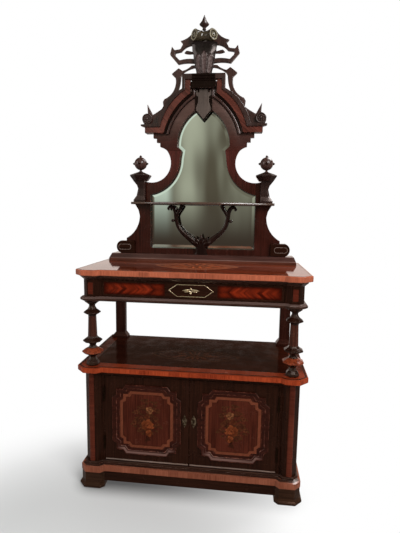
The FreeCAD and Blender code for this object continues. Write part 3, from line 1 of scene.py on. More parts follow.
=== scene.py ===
# %% [markdown]
# # A chiffonier with a mirror back
# This lesson dresses a finished cabinet. The joiner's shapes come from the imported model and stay
# where they are. What is added here is what a polisher, a carver and a marquetry cutter would add:
# veneers, inlay, mouldings, carving and the shine of old French polish.
# Shapes are written in millimetres, as on the bench, and turned into metres at the last moment. The
# studio and the finishes are in metres, because lamps and shaders read those.

# %% Load the joiner's work
import math

import bmesh
import bpy
import numpy as np
from mathutils import Matrix


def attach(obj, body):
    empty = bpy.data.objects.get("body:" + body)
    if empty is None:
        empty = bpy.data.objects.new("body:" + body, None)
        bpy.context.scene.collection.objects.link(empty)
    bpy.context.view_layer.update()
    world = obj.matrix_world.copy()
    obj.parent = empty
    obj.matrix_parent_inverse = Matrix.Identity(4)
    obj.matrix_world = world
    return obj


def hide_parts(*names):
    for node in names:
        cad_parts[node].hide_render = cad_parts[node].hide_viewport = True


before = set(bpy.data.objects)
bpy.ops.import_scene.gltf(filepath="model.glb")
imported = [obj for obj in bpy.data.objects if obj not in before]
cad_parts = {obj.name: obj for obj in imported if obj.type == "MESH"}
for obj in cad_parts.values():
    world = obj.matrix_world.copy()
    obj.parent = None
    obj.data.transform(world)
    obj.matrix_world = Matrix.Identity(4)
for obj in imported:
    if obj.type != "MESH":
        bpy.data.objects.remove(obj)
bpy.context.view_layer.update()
MM = 0.001

# %% [markdown]
# ## The camera
# The picture was taken by hand, a little to the right of the cabinet, at the height of a chest.
# A camera is placed by a matrix whose columns are its right, its up, and its backward direction.
# Writing the three turns by hand keeps the small roll of a hand-held picture in plain sight.

# %% Place the camera
EYE = np.array([227.48, -1916.0, 1267.26]) * MM
YAW, PITCH, ROLL = 0.110, 0.1258, 0.0154
LENS, SENSOR = 26.994, 36.0


def into_scene(name, data):
    """A new object that holds some data, linked into the scene."""
    made = bpy.data.objects.new(name, data)
    bpy.context.scene.collection.objects.link(made)
    return made


def stood(right, up, back, place):
    """The matrix of a thing at a place, from its right, its up and its backward direction."""
    return Matrix(np.vstack([np.column_stack([right, up, back, place]), (0, 0, 0, 1)]).tolist())


level = np.array([math.cos(YAW), math.sin(YAW), 0])
ahead = np.array([-math.sin(YAW) * math.cos(PITCH), math.cos(YAW) * math.cos(PITCH), -math.sin(PITCH)])
above = np.cross(level, ahead)
right = level * math.cos(ROLL) + above * math.sin(ROLL)
up = above * math.cos(ROLL) - level * math.sin(ROLL)
camera = into_scene("camera", bpy.data.cameras.new("camera"))
camera.data.lens, camera.data.sensor_width = LENS, SENSOR
camera.matrix_world = stood(right, up, -ahead, EYE)
bpy.context.scene.camera = camera
print("camera at", EYE.round(3))

# %% [markdown]
# ## Nodes in few words
# A shader is a graph, and a graph reads best when each node is one short line. `wire` makes a node
# and fills its sockets, with a number for a constant and another node's output for a link. The other
# helpers are the few kinds of node that return in every finish.

# %% Nodes and sums
def fill(tree, socket, source):
    """A socket filled with a link from another node, or with a constant."""
    if isinstance(source, bpy.types.NodeSocket):
        tree.links.new(source, socket)
    else:
        socket.default_value = source


def wire(tree, kind, sockets=None, **settings):
    """One node: its settings, then its sockets."""
    made = tree.nodes.new(kind)
    for word, setting in settings.items():
        setattr(made, word, setting)
    for key, source in (sockets or {}).items():
        fill(tree, made.inputs[key], source)
    return made


def maths(tree, operation, *terms):
    """A Math node on one to three terms."""
    return wire(tree, "ShaderNodeMath", dict(enumerate(terms)), operation=operation).outputs[0]


def vector_maths(tree, operation, *terms):
    """A Vector Math node on one to three terms. A length, a distance and a dot product are values."""
    made = wire(tree, "ShaderNodeVectorMath", dict(enumerate(terms)), operation=operation)
    return made.outputs["Value" if operation in ("LENGTH", "DISTANCE", "DOT_PRODUCT") else "Vector"]


def axes(tree, vector):
    """The X, Y and Z of a vector."""
    return wire(tree, "ShaderNodeSeparateXYZ", {0: vector}).outputs


def smooth_step(tree, value, low, high):
    """0 below low and 1 above high, easing between them."""
    return wire(tree, "ShaderNodeMapRange", {"Value": value, "From Min": low, "From Max": high},
                interpolation_type="SMOOTHSTEP").outputs[0]


def between(tree, value, low, high, soft):
    """1 from low to high and 0 outside, with soft edges."""
    rise = smooth_step(tree, value, low - soft, low + soft)
    fall = smooth_step(tree, value, high - soft, high + soft)
    return maths(tree, "SUBTRACT", rise, fall)


def ranging(tree, share, low, high):
    """A value that goes from low to high with a share."""
    return maths(tree, "MULTIPLY_ADD", share, high - low, low)


print("sums ready")

# %% Colours, patterns and finishes
def blend_colour(tree, share, first, second, way="MIX"):
    """Two colours mixed by a share. A constant colour is a tuple of red, green and blue."""
    first, second = [(*tone, 1) if isinstance(tone, tuple) else tone for tone in (first, second)]
    return wire(tree, "ShaderNodeMix", {0: share, 6: first, 7: second}, data_type="RGBA",
                blend_type=way).outputs[2]


def noise(tree, vector, scale, detail, roughness=0.55):
    """Cloudy noise, finer with a larger scale."""
    return wire(tree, "ShaderNodeTexNoise", {"Vector": vector, "Scale": scale, "Detail": detail,
                                             "Roughness": roughness}).outputs[0]


def stretched(tree, vector, scale, turn=(0, 0, 0)):
    """Coordinates turned and stretched by a Mapping node."""
    return wire(tree, "ShaderNodeMapping", {"Vector": vector, "Rotation": turn, "Scale": scale}).outputs[0]


def object_place(tree):
    """The place on the object, in metres."""
    return wire(tree, "ShaderNodeTexCoord").outputs["Object"]


def new_finish(name, **constants):
    """A material with its tree and its Principled shader, constants set on the shader's own sockets."""
    finish = bpy.data.materials.new(name)
    finish.use_nodes = True
    tree = finish.node_tree
    shader = tree.nodes["Principled BSDF"]
    for word, setting in constants.items():
        shader.inputs[word.replace("_", " ").title().replace("Ior", "IOR")].default_value = setting
    return finish, tree, shader


def lay_on(tree, shader, tone, rough, height=None, rise=0.02, depth=0.001):
    """Colour and roughness led into a shader, and a height, if there is one, through a Bump node."""
    fill(tree, shader.inputs["Base Color"], tone)
    fill(tree, shader.inputs["Roughness"], rough)
    if height is not None:
        bump = wire(tree, "ShaderNodeBump", {"Height": height, "Strength": rise, "Distance": depth})
        fill(tree, shader.inputs["Normal"], bump.outputs[0])


print("finish helpers ready")

# %% [markdown]
# ## The studio
# The cabinet stands on a plain pale floor before a white ground. The floor turns to pure white away
# from the cabinet. Near it the floor keeps the lamps' shadow, and a painted contact shadow darkens its
# colour close round the feet. Only the camera sees that white, so it throws no extra light. Polished
# surfaces see a plain brown glow on the floor instead, a painted reflection of a brown floor.

# %% Floor
FLOOR_REACH, FLOOR_TONE, MIRRORED_FLOOR_GLOW = 14.0, (0.64, 0.64, 0.64), (0.27, 0.235, 0.215, 1)
SHADE_CENTRE, SHADE_NEAR, SHADE_FAR = (-0.35, -0.80, 0), 0.45, 1.22
FOOTPRINT, PAINTED_SHADOW_REACH, PAINTED_SHADOW_TONE = (0.44, 0.20, 0), 0.135, (0.035, 0.031, 0.028)
WHITE = (1.0, 1.0, 1.0, 1)

floor_mesh = bpy.data.meshes.new("studio_floor")
corners = [(x * FLOOR_REACH, y * FLOOR_REACH, 0) for x, y in ((-1, -1), (1, -1), (1, 1), (-1, 1))]
floor_mesh.from_pydata(corners, [], [(0, 1, 2, 3)])
studio_floor = into_scene("studio_floor", floor_mesh)
floor_finish, tree, shader = new_finish("pale_floor", roughness=0.9)
place = object_place(tree)
# Painted contact shadow: the floor's colour darkens towards the cabinet's footprint.
beyond = vector_maths(tree, "SUBTRACT", vector_maths(tree, "ABSOLUTE", place), FOOTPRINT)
beyond = vector_maths(tree, "LENGTH", vector_maths(tree, "MAXIMUM", beyond, (0, 0, 0)))
painted_shadow = smooth_step(tree, beyond, 0.0, PAINTED_SHADOW_REACH)
fill(tree, shader.inputs["Base Color"], blend_colour(tree, painted_shadow, PAINTED_SHADOW_TONE, FLOOR_TONE))
path = wire(tree, "ShaderNodeLightPath").outputs
away = smooth_step(tree, vector_maths(tree, "DISTANCE", place, SHADE_CENTRE), SHADE_NEAR, SHADE_FAR)
away = maths(tree, "MULTIPLY", away, path["Is Camera Ray"])
surface = shader.outputs[0]
# Camera rays see the white ground, and reflected rays a brown glow: a painted reflection of the floor.
for share, glow in ((away, WHITE), (path["Is Glossy Ray"], MIRRORED_FLOOR_GLOW)):
    light = wire(tree, "ShaderNodeEmission", {"Color": glow, "Strength": 1.0}).outputs[0]
    surface = wire(tree, "ShaderNodeMixShader", {0: share, 1: surface, 2: light}).outputs[0]
fill(tree, tree.nodes["Material Output"].inputs["Surface"], surface)
floor_mesh.materials.append(floor_finish)
print("floor", FLOOR_REACH, "m each way")

# %% [markdown]
# Three large lamps light the cabinet softly: one from the right of the viewer, a weaker one from the
# left, and one high behind it.

# %% Lamps
LAMPS = {  # place, aim, size and power, in metres and watts
    "key_lamp": ((1.9, -2.3, 3.1), (0, 0, 0.9), 1.6, 120),
    "fill_lamp": ((-2.6, -1.7, 2.2), (0, 0, 0.9), 1.8, 32),
    "top_lamp": ((1.5, 1.3, 3.6), (0, 0, 1.0), 1.6, 110),
}


def unit(vector):
    """The same direction, one long."""
    return np.asarray(vector) / np.linalg.norm(vector)


for name, (place, aim, size, power) in LAMPS.items():
    lamp = bpy.data.lights.new(name, "AREA")
    lamp.size, lamp.energy = size, power
    back = unit(np.subtract(place, aim))
    side = unit(np.cross((0, 0, 1), back))
    into_scene(name, lamp).matrix_world = stood(side, np.cross(back, side), back, place)
print("lamps", list(LAMPS))

# %% [markdown]
# Dark polished wood is drawn mostly by what it mirrors. So rays that come from a polished surface see
# a room: a dim wall with one window in front of the cabinet, and behind it a warm white low down, a
# dim ceiling and one skylight. The camera sees plain white, and light is gathered from an even grey.

# %% Ground and mirrored room
EVEN_LIGHT = (0.42, 0.43, 0.42)
WALL_DIM, WALL_PALE = (0.10, 0.085, 0.060), (0.46, 0.47, 0.37)
WINDOW, LOW_ROOM = (0.66, 0.76, 0.66), (0.050, 0.036, 0.027)
LOW_GROUND, CEILING, SKYLIGHT = (1.0, 0.86, 0.78), (0.10, 0.07, 0.05), (1.0, 0.88, 0.78)
# Parts of the room by direction: where one begins and ends, and the softness of its sides
MOTTLE, MOTTLE_RANGE = (9, 9, 2.2), (0.36, 0.66)
WINDOW_SPAN, SKY_ACROSS, SKY_UP = (-0.30, -0.185, 0.012), (0.06, 0.30, 0.03), (0.47, 0.66, 0.03)
LOW_RISE, CEILING_RISE, FRONT_TO_BACK = (-0.07, 0.10), (0.19, 0.30), (-0.25, 0.3)

world = bpy.data.worlds.new("white_ground")
bpy.context.scene.world = world
world.use_nodes = True
tree = world.node_tree
path = wire(tree, "ShaderNodeLightPath").outputs
heading = wire(tree, "ShaderNodeTexCoord").outputs["Generated"]
way = axes(tree, heading)
mottle = noise(tree, stretched(tree, heading, MOTTLE), 1.0, 2.0)
room = blend_colour(tree, smooth_step(tree, mottle, *MOTTLE_RANGE), WALL_DIM, WALL_PALE)
room = blend_colour(tree, between(tree, way["X"], *WINDOW_SPAN), room, WINDOW)
room = blend_colour(tree, smooth_step(tree, way["Z"], *LOW_RISE), LOW_ROOM, room)
ground = blend_colour(tree, smooth_step(tree, way["Z"], *CEILING_RISE), LOW_GROUND, CEILING)
skylight = maths(tree, "MULTIPLY", between(tree, way["X"], *SKY_ACROSS),
                 between(tree, way["Z"], *SKY_UP))
ground = blend_colour(tree, skylight, ground, SKYLIGHT)
mirrored = blend_colour(tree, smooth_step(tree, way["Y"], *FRONT_TO_BACK), room, ground)
looking = maths(tree, "MAXIMUM", path["Is Camera Ray"], path["Is Glossy Ray"])
looking = maths(tree, "MAXIMUM", looking, path["Is Transmission Ray"])
tone = blend_colour(tree, looking, EVEN_LIGHT, mirrored)
tone = blend_colour(tree, path["Is Camera Ray"], tone, WHITE[:3])
fill(tree, tree.nodes["Background"].inputs["Color"], tone)
bpy.context.scene.view_settings.view_transform = "Standard"
print("studio ready")

# %% [markdown]
# ## Shared effects
# Four effects return in nearly every finish: the grain of timber, the slips of a crossbanded edge,
# the smudges of an old polish, and a tone along edges, which is brown wear on dark timber and partly a
# painted highlight where it is set pale. Each is a node group, built once. The edge mask compares the
# surface's normal with one that is rounded over the edge: where they differ there is an edge, from any
# side, with no need of extra geometry.

# %% Grain
def shader_group(name, inputs, outputs):
    """An empty node group with its sockets, and the inner ends of those sockets."""
    tree = bpy.data.node_groups.new(name, "ShaderNodeTree")
    for word, kind, start in inputs:
        socket = tree.interface.new_socket(word, in_out="INPUT", socket_type=f"NodeSocket{kind}")
        if start is not None:
            socket.default_value = start
    for word in outputs:
        tree.interface.new_socket(word, in_out="OUTPUT", socket_type="NodeSocketFloat")
    return tree, tree.nodes.new("NodeGroupInput").outputs, tree.nodes.new("NodeGroupOutput").inputs


def place_group(tree, group, sockets):
    """A group put into a material, with its sockets filled. Gives its outputs."""
    return wire(tree, "ShaderNodeGroup", sockets, node_tree=group).outputs


# How often each noise changes in a metre, along and across the grain
WARP, STREAKS, PORES, CLOUD = (3, 9, 9), (5, 130, 130), (60, 1100, 1100), (4, 14, 14)
WARP_SIZE, PORE_RANGE = (0.012, 0.012, 0.012), (0.58, 0.7)
grain, asked, given = shader_group("timber_grain", [("Vector", "Vector", None), ("Scale", "Float", 1.0)],
                                   ["Streaks", "Pores", "Cloud"])
scaled = wire(grain, "ShaderNodeVectorMath", {0: asked["Vector"], "Scale": asked["Scale"]},
              operation="SCALE").outputs[0]
warp = wire(grain, "ShaderNodeTexNoise", {"Vector": stretched(grain, scaled, WARP),
                                          "Scale": 1.0, "Detail": 2.0}).outputs["Color"]
bent = vector_maths(grain, "MULTIPLY_ADD", warp, WARP_SIZE, scaled)
fill(grain, given["Streaks"], noise(grain, stretched(grain, bent, STREAKS), 1.0, 6.0, 0.62))
fine = noise(grain, stretched(grain, bent, PORES), 1.0, 2.0)
fill(grain, given["Pores"], smooth_step(grain, fine, *PORE_RANGE))
fill(grain, given["Cloud"], noise(grain, stretched(grain, bent, CLOUD), 1.0, 2.0))
print("groups", [group.name for group in bpy.data.node_groups])

# %% Crossband
JOINT_RANGE, STRIPES_ALONG, STRIPES_ASIDE = (0.485, 0.5), 170.0, (9, 9, 9)
crossband, asked, given = shader_group(
    "crossband_slips", [("Along", "Float", 0.0), ("Vector", "Vector", None), ("Slip", "Float", 0.045)],
    ["Slip Tone", "Stripe", "Joint"])
count = maths(crossband, "DIVIDE", asked["Along"], asked["Slip"])
slip = wire(crossband, "ShaderNodeTexWhiteNoise", {"W": maths(crossband, "FLOOR", count)},
            noise_dimensions="1D")
fill(crossband, given["Slip Tone"], slip.outputs["Value"])
off_middle = maths(crossband, "SUBTRACT", maths(crossband, "FRACT", count), 0.5)
joint = smooth_step(crossband, maths(crossband, "ABSOLUTE", off_middle), *JOINT_RANGE)
fill(crossband, given["Joint"], joint)
across = maths(crossband, "MULTIPLY", asked["Along"], STRIPES_ALONG)
across = wire(crossband, "ShaderNodeCombineXYZ", {"X": across}).outputs[0]
leaned = vector_maths(crossband, "MULTIPLY_ADD", asked["Vector"], STRIPES_ASIDE, across)
fill(crossband, given["Stripe"], noise(crossband, leaned, 1.0, 4.0, 0.6))
print("groups", [group.name for group in bpy.data.node_groups])

# %% Polish, and wear and highlight along edges
SMUDGES, SMUDGE_RANGE, RIPPLES = 17.0, (0.35, 0.75), 55.0
EDGE_RANGE, PATCHES, PATCH_RANGE, BEVEL_SAMPLES = (0.02, 0.2), 38.0, (0.42, 0.62), 4
polish, asked, given = shader_group("old_polish", [("Vector", "Vector", None)], ["Smudge", "Ripple"])
smudge = noise(polish, asked["Vector"], SMUDGES, 4.0, 0.6)
fill(polish, given["Smudge"], smooth_step(polish, smudge, *SMUDGE_RANGE))
fill(polish, given["Ripple"], noise(polish, asked["Vector"], RIPPLES, 2.0))

edge_finder, asked, given = shader_group("edge_wear_and_highlight", [("Vector", "Vector", None), ("Width", "Float", 0.002)],
                                 ["Rub"])
rounded = wire(edge_finder, "ShaderNodeBevel", {"Radius": asked["Width"]}, samples=BEVEL_SAMPLES).outputs[0]
true_way = wire(edge_finder, "ShaderNodeNewGeometry").outputs["Normal"]
apart = maths(edge_finder, "SUBTRACT", 1.0, vector_maths(edge_finder, "DOT_PRODUCT", rounded, true_way))
patchy = smooth_step(edge_finder, noise(edge_finder, asked["Vector"], PATCHES, 4.0), *PATCH_RANGE)
fill(edge_finder, given["Rub"], maths(edge_finder, "MULTIPLY", smooth_step(edge_finder, apart, *EDGE_RANGE), patchy))
print("groups", [group.name for group in bpy.data.node_groups])

# %% [markdown]
# ## Timber
# Ebonising is a black stain under polish, so the timber's brown shows at the edges that hands and
# dusters wear. Where that edge tone is set pale, it is partly a painted highlight along the edge.
# Mahogany keeps its red streaks. One recipe makes them all, from two tones and the way the grain runs.
# It reads Object coordinates in metres, so the grain has its true size on every piece.
# A dark wood turns grey under a strong reflection, so most films have a low index and a warm tint.

# %% A timber's recipe
ALONG_X, ALONG_Z = (0, 0, 0), (0, math.pi / 2, 0)
SHELLAC, CLEAR, ROSY_SHELLAC = (1.0, 0.60, 0.45, 1), WHITE, (1.0, 0.85, 0.8, 1)
PALE_SHELLAC, AMBER_SHELLAC = (1.0, 0.85, 0.78, 1), (1.0, 0.8, 0.7, 1)
TONE_RANGE, PORE_SHARE, PORE_SHADE, RUB_DULL = (0.35, 1.15), 0.5, 0.4, 0.15
HIGHLIGHT_SLOPES, HIGHLIGHT_RANGE = (0.28, 0.80, 0.14), (-0.3, 0.8)
POINT_COLOUR_AND_SHADE = "veneer"


def timber(name, deep, light, along, streak=0.5, rub_and_highlight=(0.075, 0.032, 0.018), edge_share=0.5,
           dull=(0.14, 0.32), rise=0.05, ior=1.27, film_tint=SHELLAC, zones=(), slope_highlight=None,
           edge_width=0.002, painted_shade=False):
    """Polished solid timber: streaks and cloud mix two tones, pores darken, and edges take their own tone,
    brown wear on dark wood and partly a painted highlight where it is pale. A zone gives two other tones
    between two heights in metres, with its softness. Slopes that look up may take a painted highlight, and
    a carving may take painted shade and light from the colour on its points."""
    finish, tree, shader = new_finish(name, ior=ior, specular_tint=film_tint)
    place = object_place(tree)
    lines = place_group(tree, grain, {"Vector": stretched(tree, place, (1, 1, 1), along), "Scale": 1.0})
    film = place_group(tree, polish, {"Vector": place})
    edge_mask = place_group(tree, edge_finder, {"Vector": place, "Width": edge_width})["Rub"]
    cloud = maths(tree, "MULTIPLY", lines["Cloud"], 1 - streak)
    figure = maths(tree, "MULTIPLY_ADD", lines["Streaks"], streak * 2, cloud)
    share = smooth_step(tree, figure, *TONE_RANGE)
    tone = blend_colour(tree, share, deep, light)
    for low, high, soft, zone_deep, zone_light in zones:
        tone = blend_colour(tree, between(tree, axes(tree, place)["Z"], low, high, soft), tone,
                            blend_colour(tree, share, zone_deep, zone_light))
    pore_tone = tuple(c * PORE_SHADE for c in deep)
    tone = blend_colour(tree, maths(tree, "MULTIPLY", lines["Pores"], PORE_SHARE), tone, pore_tone)
    # Edge tone: brown wear on dark wood, and partly a painted highlight where it is set pale.
    tone = blend_colour(tree, maths(tree, "MULTIPLY", edge_mask, edge_share), tone, rub_and_highlight)
    # Painted highlight: slopes that look up are lightened, as if lit from above.
    if slope_highlight:
        upward = axes(tree, wire(tree, "ShaderNodeNewGeometry").outputs["Normal"])["Z"]
        lit = maths(tree, "MULTIPLY", between(tree, upward, *HIGHLIGHT_SLOPES),
                    smooth_step(tree, share, *HIGHLIGHT_RANGE))
        tone = blend_colour(tree, lit, tone, slope_highlight)
    # Painted shade and light: the colour on a carving's points darkens its hollows and lightens its crowns.
    if painted_shade:
        own_shade = wire(tree, "ShaderNodeAttribute", attribute_name=POINT_COLOUR_AND_SHADE).outputs["Color"]
        tone = blend_colour(tree, 1.0, tone, own_shade, "MULTIPLY")
    rough = maths(tree, "MULTIPLY_ADD", edge_mask, RUB_DULL, ranging(tree, film["Smudge"], *dull))
    sunk = maths(tree, "MULTIPLY", lines["Pores"], -0.5)
    lay_on(tree, shader, tone, rough, maths(tree, "MULTIPLY_ADD", film["Ripple"], 0.5, sunk), rise)
    return finish


print("timber recipe ready")

# %% [markdown]
# Below, the timbers are named for where they are used. The pieces differ a little in tone, and where
# one turning or board changes its tone with its height, it has zones.

# %% Timbers of the cupboard, the frieze and the columns
EBONY = (0.0052, 0.0016, 0.0008), (0.025, 0.0076, 0.0040)
MAHOGANY = (0.010, 0.0012, 0.0004), (0.055, 0.0075, 0.0026)
PLAIN = (0.10, 0.055, 0.026), (0.20, 0.12, 0.062)
WORN = (0.0095, 0.0036, 0.0022), (0.046, 0.0185, 0.0120)
# A pale edge tone: wear, and partly a painted highlight along the edges.
WORN_AND_LIT_EDGES = dict(dull=(0.12, 0.28), rub_and_highlight=(0.26, 0.175, 0.14), edge_share=0.85, ior=1.42,
                  film_tint=PALE_SHELLAC)
UNPOLISHED = dict(dull=(0.5, 0.7), rub_and_highlight=(0.24, 0.15, 0.08))
ebony_lying = timber("ebonised_lying", *EBONY, ALONG_X)
ebony_upright = timber("ebonised_upright", *EBONY, ALONG_Z)
mahogany_lying = timber("mahogany_lying", *MAHOGANY, ALONG_X)
mahogany_upright = timber("mahogany_upright", *MAHOGANY, ALONG_Z)
# The door moulding takes a painted highlight on its up-facing slopes, and its pale edges are partly a painted
# highlight.
moulding_timber = timber("moulding_timber", (0.0085, 0.0015, 0.0008), (0.038, 0.0068, 0.0035), ALONG_X,
                         dull=(0.14, 0.28), rub_and_highlight=(0.19, 0.056, 0.034), edge_share=0.9, edge_width=0.004,
                         ior=1.32, film_tint=(1.0, 0.72, 0.60, 1), slope_highlight=(0.165, 0.090, 0.075))
door_mahogany = timber("door_mahogany", (0.0165, 0.0028, 0.0014), (0.084, 0.0166, 0.0084), ALONG_Z)
ebony_worn_and_lit = timber("ebony_worn_and_lit", *WORN, ALONG_X, **WORN_AND_LIT_EDGES)
# The frieze takes a painted highlight on its up-facing slopes.
frieze_timber = timber("frieze_timber", *WORN, ALONG_X, **WORN_AND_LIT_EDGES, slope_highlight=(0.115, 0.076, 0.066))
pilaster_timber = timber("pilaster_timber", (0.0094, 0.0026, 0.0016), (0.045, 0.0122, 0.0080), ALONG_Z)
foot_timber = timber("foot_timber", (0.0088, 0.0036, 0.0018), (0.042, 0.0186, 0.0100), ALONG_X,
                     rub_and_highlight=(0.12, 0.075, 0.045), edge_share=0.7)
column_timber = timber("column_timber", *EBONY, ALONG_Z, rub_and_highlight=(0.12, 0.06, 0.04), edge_share=0.6, ior=1.45,
                       film_tint=AMBER_SHELLAC,
                       zones=((0.6405, 0.662, 0.0006, (0.060, 0.008, 0.0024), (0.27, 0.052, 0.019)),
                              (0.716, 0.810, 0.0006, (0.0140, 0.0030, 0.0014), (0.068, 0.0155, 0.0074))))
figured_mahogany = timber("figured_mahogany", (0.029, 0.0038, 0.0012), (0.20, 0.033, 0.011), ALONG_X, 0.35,
                          dull=(0.05, 0.12), rise=0.015, ior=1.5, film_tint=CLEAR)
dark_field = timber("dark_field", (0.006, 0.0012, 0.0005), (0.030, 0.0060, 0.0026), ALONG_X,
                    dull=(0.08, 0.18), rise=0.02)
# A pale finish: on the doors' foot beads its colour is a painted highlight, and on the lines of the mirror's
# scrolled feet partly so.
pale_lit_edge = timber("pale_lit_edge", (0.06, 0.036, 0.027), (0.24, 0.165, 0.135), ALONG_X,
                   rub_and_highlight=(0.38, 0.31, 0.27), ior=1.5, film_tint=CLEAR)
plain_lying = timber("plain_lying", *PLAIN, ALONG_X, **UNPOLISHED)
plain_upright = timber("plain_upright", *PLAIN, ALONG_Z, **UNPOLISHED)
stained_timber = timber("stained_timber", (0.024, 0.0115, 0.0062), (0.066, 0.034, 0.019), ALONG_Z,
                        dull=(0.4, 0.6), rub_and_highlight=(0.12, 0.07, 0.04))
print("timbers", len(bpy.data.materials))

# %% Timbers of the mirror back
# The base's second zone is a pale line at the top of its step: a painted highlight.
base_timber = timber("base_timber", (0.0155, 0.0056, 0.0044), (0.071, 0.0275, 0.0220), ALONG_X,
                     dull=(0.12, 0.24), rub_and_highlight=(0.20, 0.125, 0.10), ior=1.36,
                     film_tint=(1.0, 0.82, 0.74, 1),
                     zones=((1.0240, 1.0368, 0.0006, (0.042, 0.0110, 0.0060), (0.140, 0.0420, 0.0250)),
                            (1.0368, 1.0410, 0.0006, (0.055, 0.024, 0.019), (0.19, 0.105, 0.086))))
# The pedestals take a painted highlight on their up-facing slopes.
pedestal_timber = timber("pedestal_timber", (0.0062, 0.0027, 0.0021), (0.028, 0.0130, 0.0106), ALONG_Z,
                         rub_and_highlight=(0.14, 0.09, 0.08), edge_share=0.6, ior=1.36, film_tint=PALE_SHELLAC,
                         slope_highlight=(0.066, 0.042, 0.036))
frame_mahogany = timber("frame_mahogany", (0.0088, 0.0019, 0.0011), (0.044, 0.0090, 0.0056), ALONG_Z,
                        ior=1.36, film_tint=(1.0, 0.80, 0.72, 1),
                        zones=((1.455, 1.69, 0.06, (0.0165, 0.0034, 0.0026), (0.082, 0.0170, 0.0130)),))
high_mahogany = timber("high_mahogany", (0.046, 0.0235, 0.0185), (0.118, 0.0630, 0.0515), ALONG_X, 0.2,
                       dull=(0.26, 0.42), edge_share=0.1, ior=1.36, film_tint=PALE_SHELLAC,
                       zones=((1.5, 1.690, 0.08, (0.0155, 0.0022, 0.0012), (0.072, 0.0118, 0.0068)),))
high_ebony = timber("high_ebony", (0.0165, 0.0070, 0.0052), (0.068, 0.0285, 0.0215), ALONG_Z,
                    dull=(0.22, 0.40), rub_and_highlight=(0.16, 0.10, 0.085), edge_share=0.6, ior=1.42, film_tint=CLEAR)
# The fret's pale edge tone is partly a painted highlight along its arms.
fret_timber = timber("fret_timber", (0.0135, 0.0054, 0.0042), (0.062, 0.0260, 0.0205), ALONG_Z,
                     dull=(0.18, 0.34), rub_and_highlight=(0.36, 0.25, 0.22), edge_share=0.9, edge_width=0.004, ior=1.45,
                     film_tint=CLEAR)
cornice_timber = timber("cornice_timber", (0.0090, 0.0038, 0.0029), (0.042, 0.0178, 0.0140), ALONG_Z,
                        dull=(0.20, 0.36), rub_and_highlight=(0.14, 0.09, 0.075), ior=1.4, film_tint=CLEAR)
black_timber = timber("black_timber", (0.0012, 0.0006, 0.0005), (0.0058, 0.0028, 0.0023), ALONG_X,
                      dull=(0.2, 0.36), edge_share=0.15)
grey_timber = timber("grey_timber", (0.034, 0.0235, 0.0190), (0.098, 0.072, 0.061), ALONG_Z, ior=1.35,
                     film_tint=CLEAR)
polished_nosing = timber("polished_nosing", (0.020, 0.009, 0.006), (0.085, 0.046, 0.032), ALONG_X,
                         dull=(0.08, 0.16), ior=1.8, film_tint=CLEAR)
print("timbers", len(bpy.data.materials))

# %% Timbers of the carving
carved_timber = timber("carved_timber", (0.020, 0.0105, 0.0086), (0.084, 0.050, 0.044), ALONG_Z, 0.2,
                       dull=(0.34, 0.5), rub_and_highlight=(0.115, 0.082, 0.072), edge_share=0.3, ior=1.38,
                       film_tint=ROSY_SHELLAC)
# The shield's timber is multiplied by the painted shade and light on its points.
shield_timber = timber("shield_timber", (0.080, 0.048, 0.044), (0.24, 0.155, 0.148), ALONG_Z, 0.2,
                       dull=(0.20, 0.34), edge_share=0.0, ior=1.42, film_tint=ROSY_SHELLAC, painted_shade=True)
spade_timber = timber("spade_timber", (0.011, 0.0046, 0.0034), (0.044, 0.0185, 0.0140), ALONG_Z,
                      dull=(0.4, 0.55), film_tint=CLEAR)
lyre_timber = timber("lyre_timber", (0.0036, 0.0013, 0.0010), (0.0170, 0.0062, 0.0048), ALONG_Z,
                     dull=(0.18, 0.34), rub_and_highlight=(0.08, 0.04, 0.03), edge_share=0.2, film_tint=AMBER_SHELLAC)
gilt_carving = timber("gilt_carving", (0.008, 0.005, 0.0026), (0.062, 0.045, 0.025), ALONG_X,
                      rub_and_highlight=(0.34, 0.29, 0.20), edge_share=0.7, ior=1.42, film_tint=CLEAR)
gilt_line = timber("gilt_line", (0.14, 0.115, 0.075), (0.36, 0.31, 0.22), ALONG_X, rub_and_highlight=(0.5, 0.45, 0.34),
                   ior=1.5, film_tint=CLEAR)
print("timbers", len(bpy.data.materials))

# %% [markdown]
# ## Red veneer
# The crossbanded edges are short slips of a red, striped veneer laid side by side, each cut with its
# grain across the edge, so the tone jumps from slip to slip. The pattern needs the length along an
# edge that turns corners. It is found from the face's own direction, with no need of a UV map.

# %% Crossbanded veneer
SIDE_BAND, END_SHADE, END_DEPTH = 0.455, (-0.19, -0.12), 0.8
JOINT_TONE, JOINT_SHARE, LEVEL_SHADE_TONE = (0.03, 0.008, 0.004), 0.3, (0.012, 0.0020, 0.0008)
LEVEL_CALM, MIDDLE_TONE, STRIPE_RANGE = 0.65, 0.45, (0.34, 0.68)


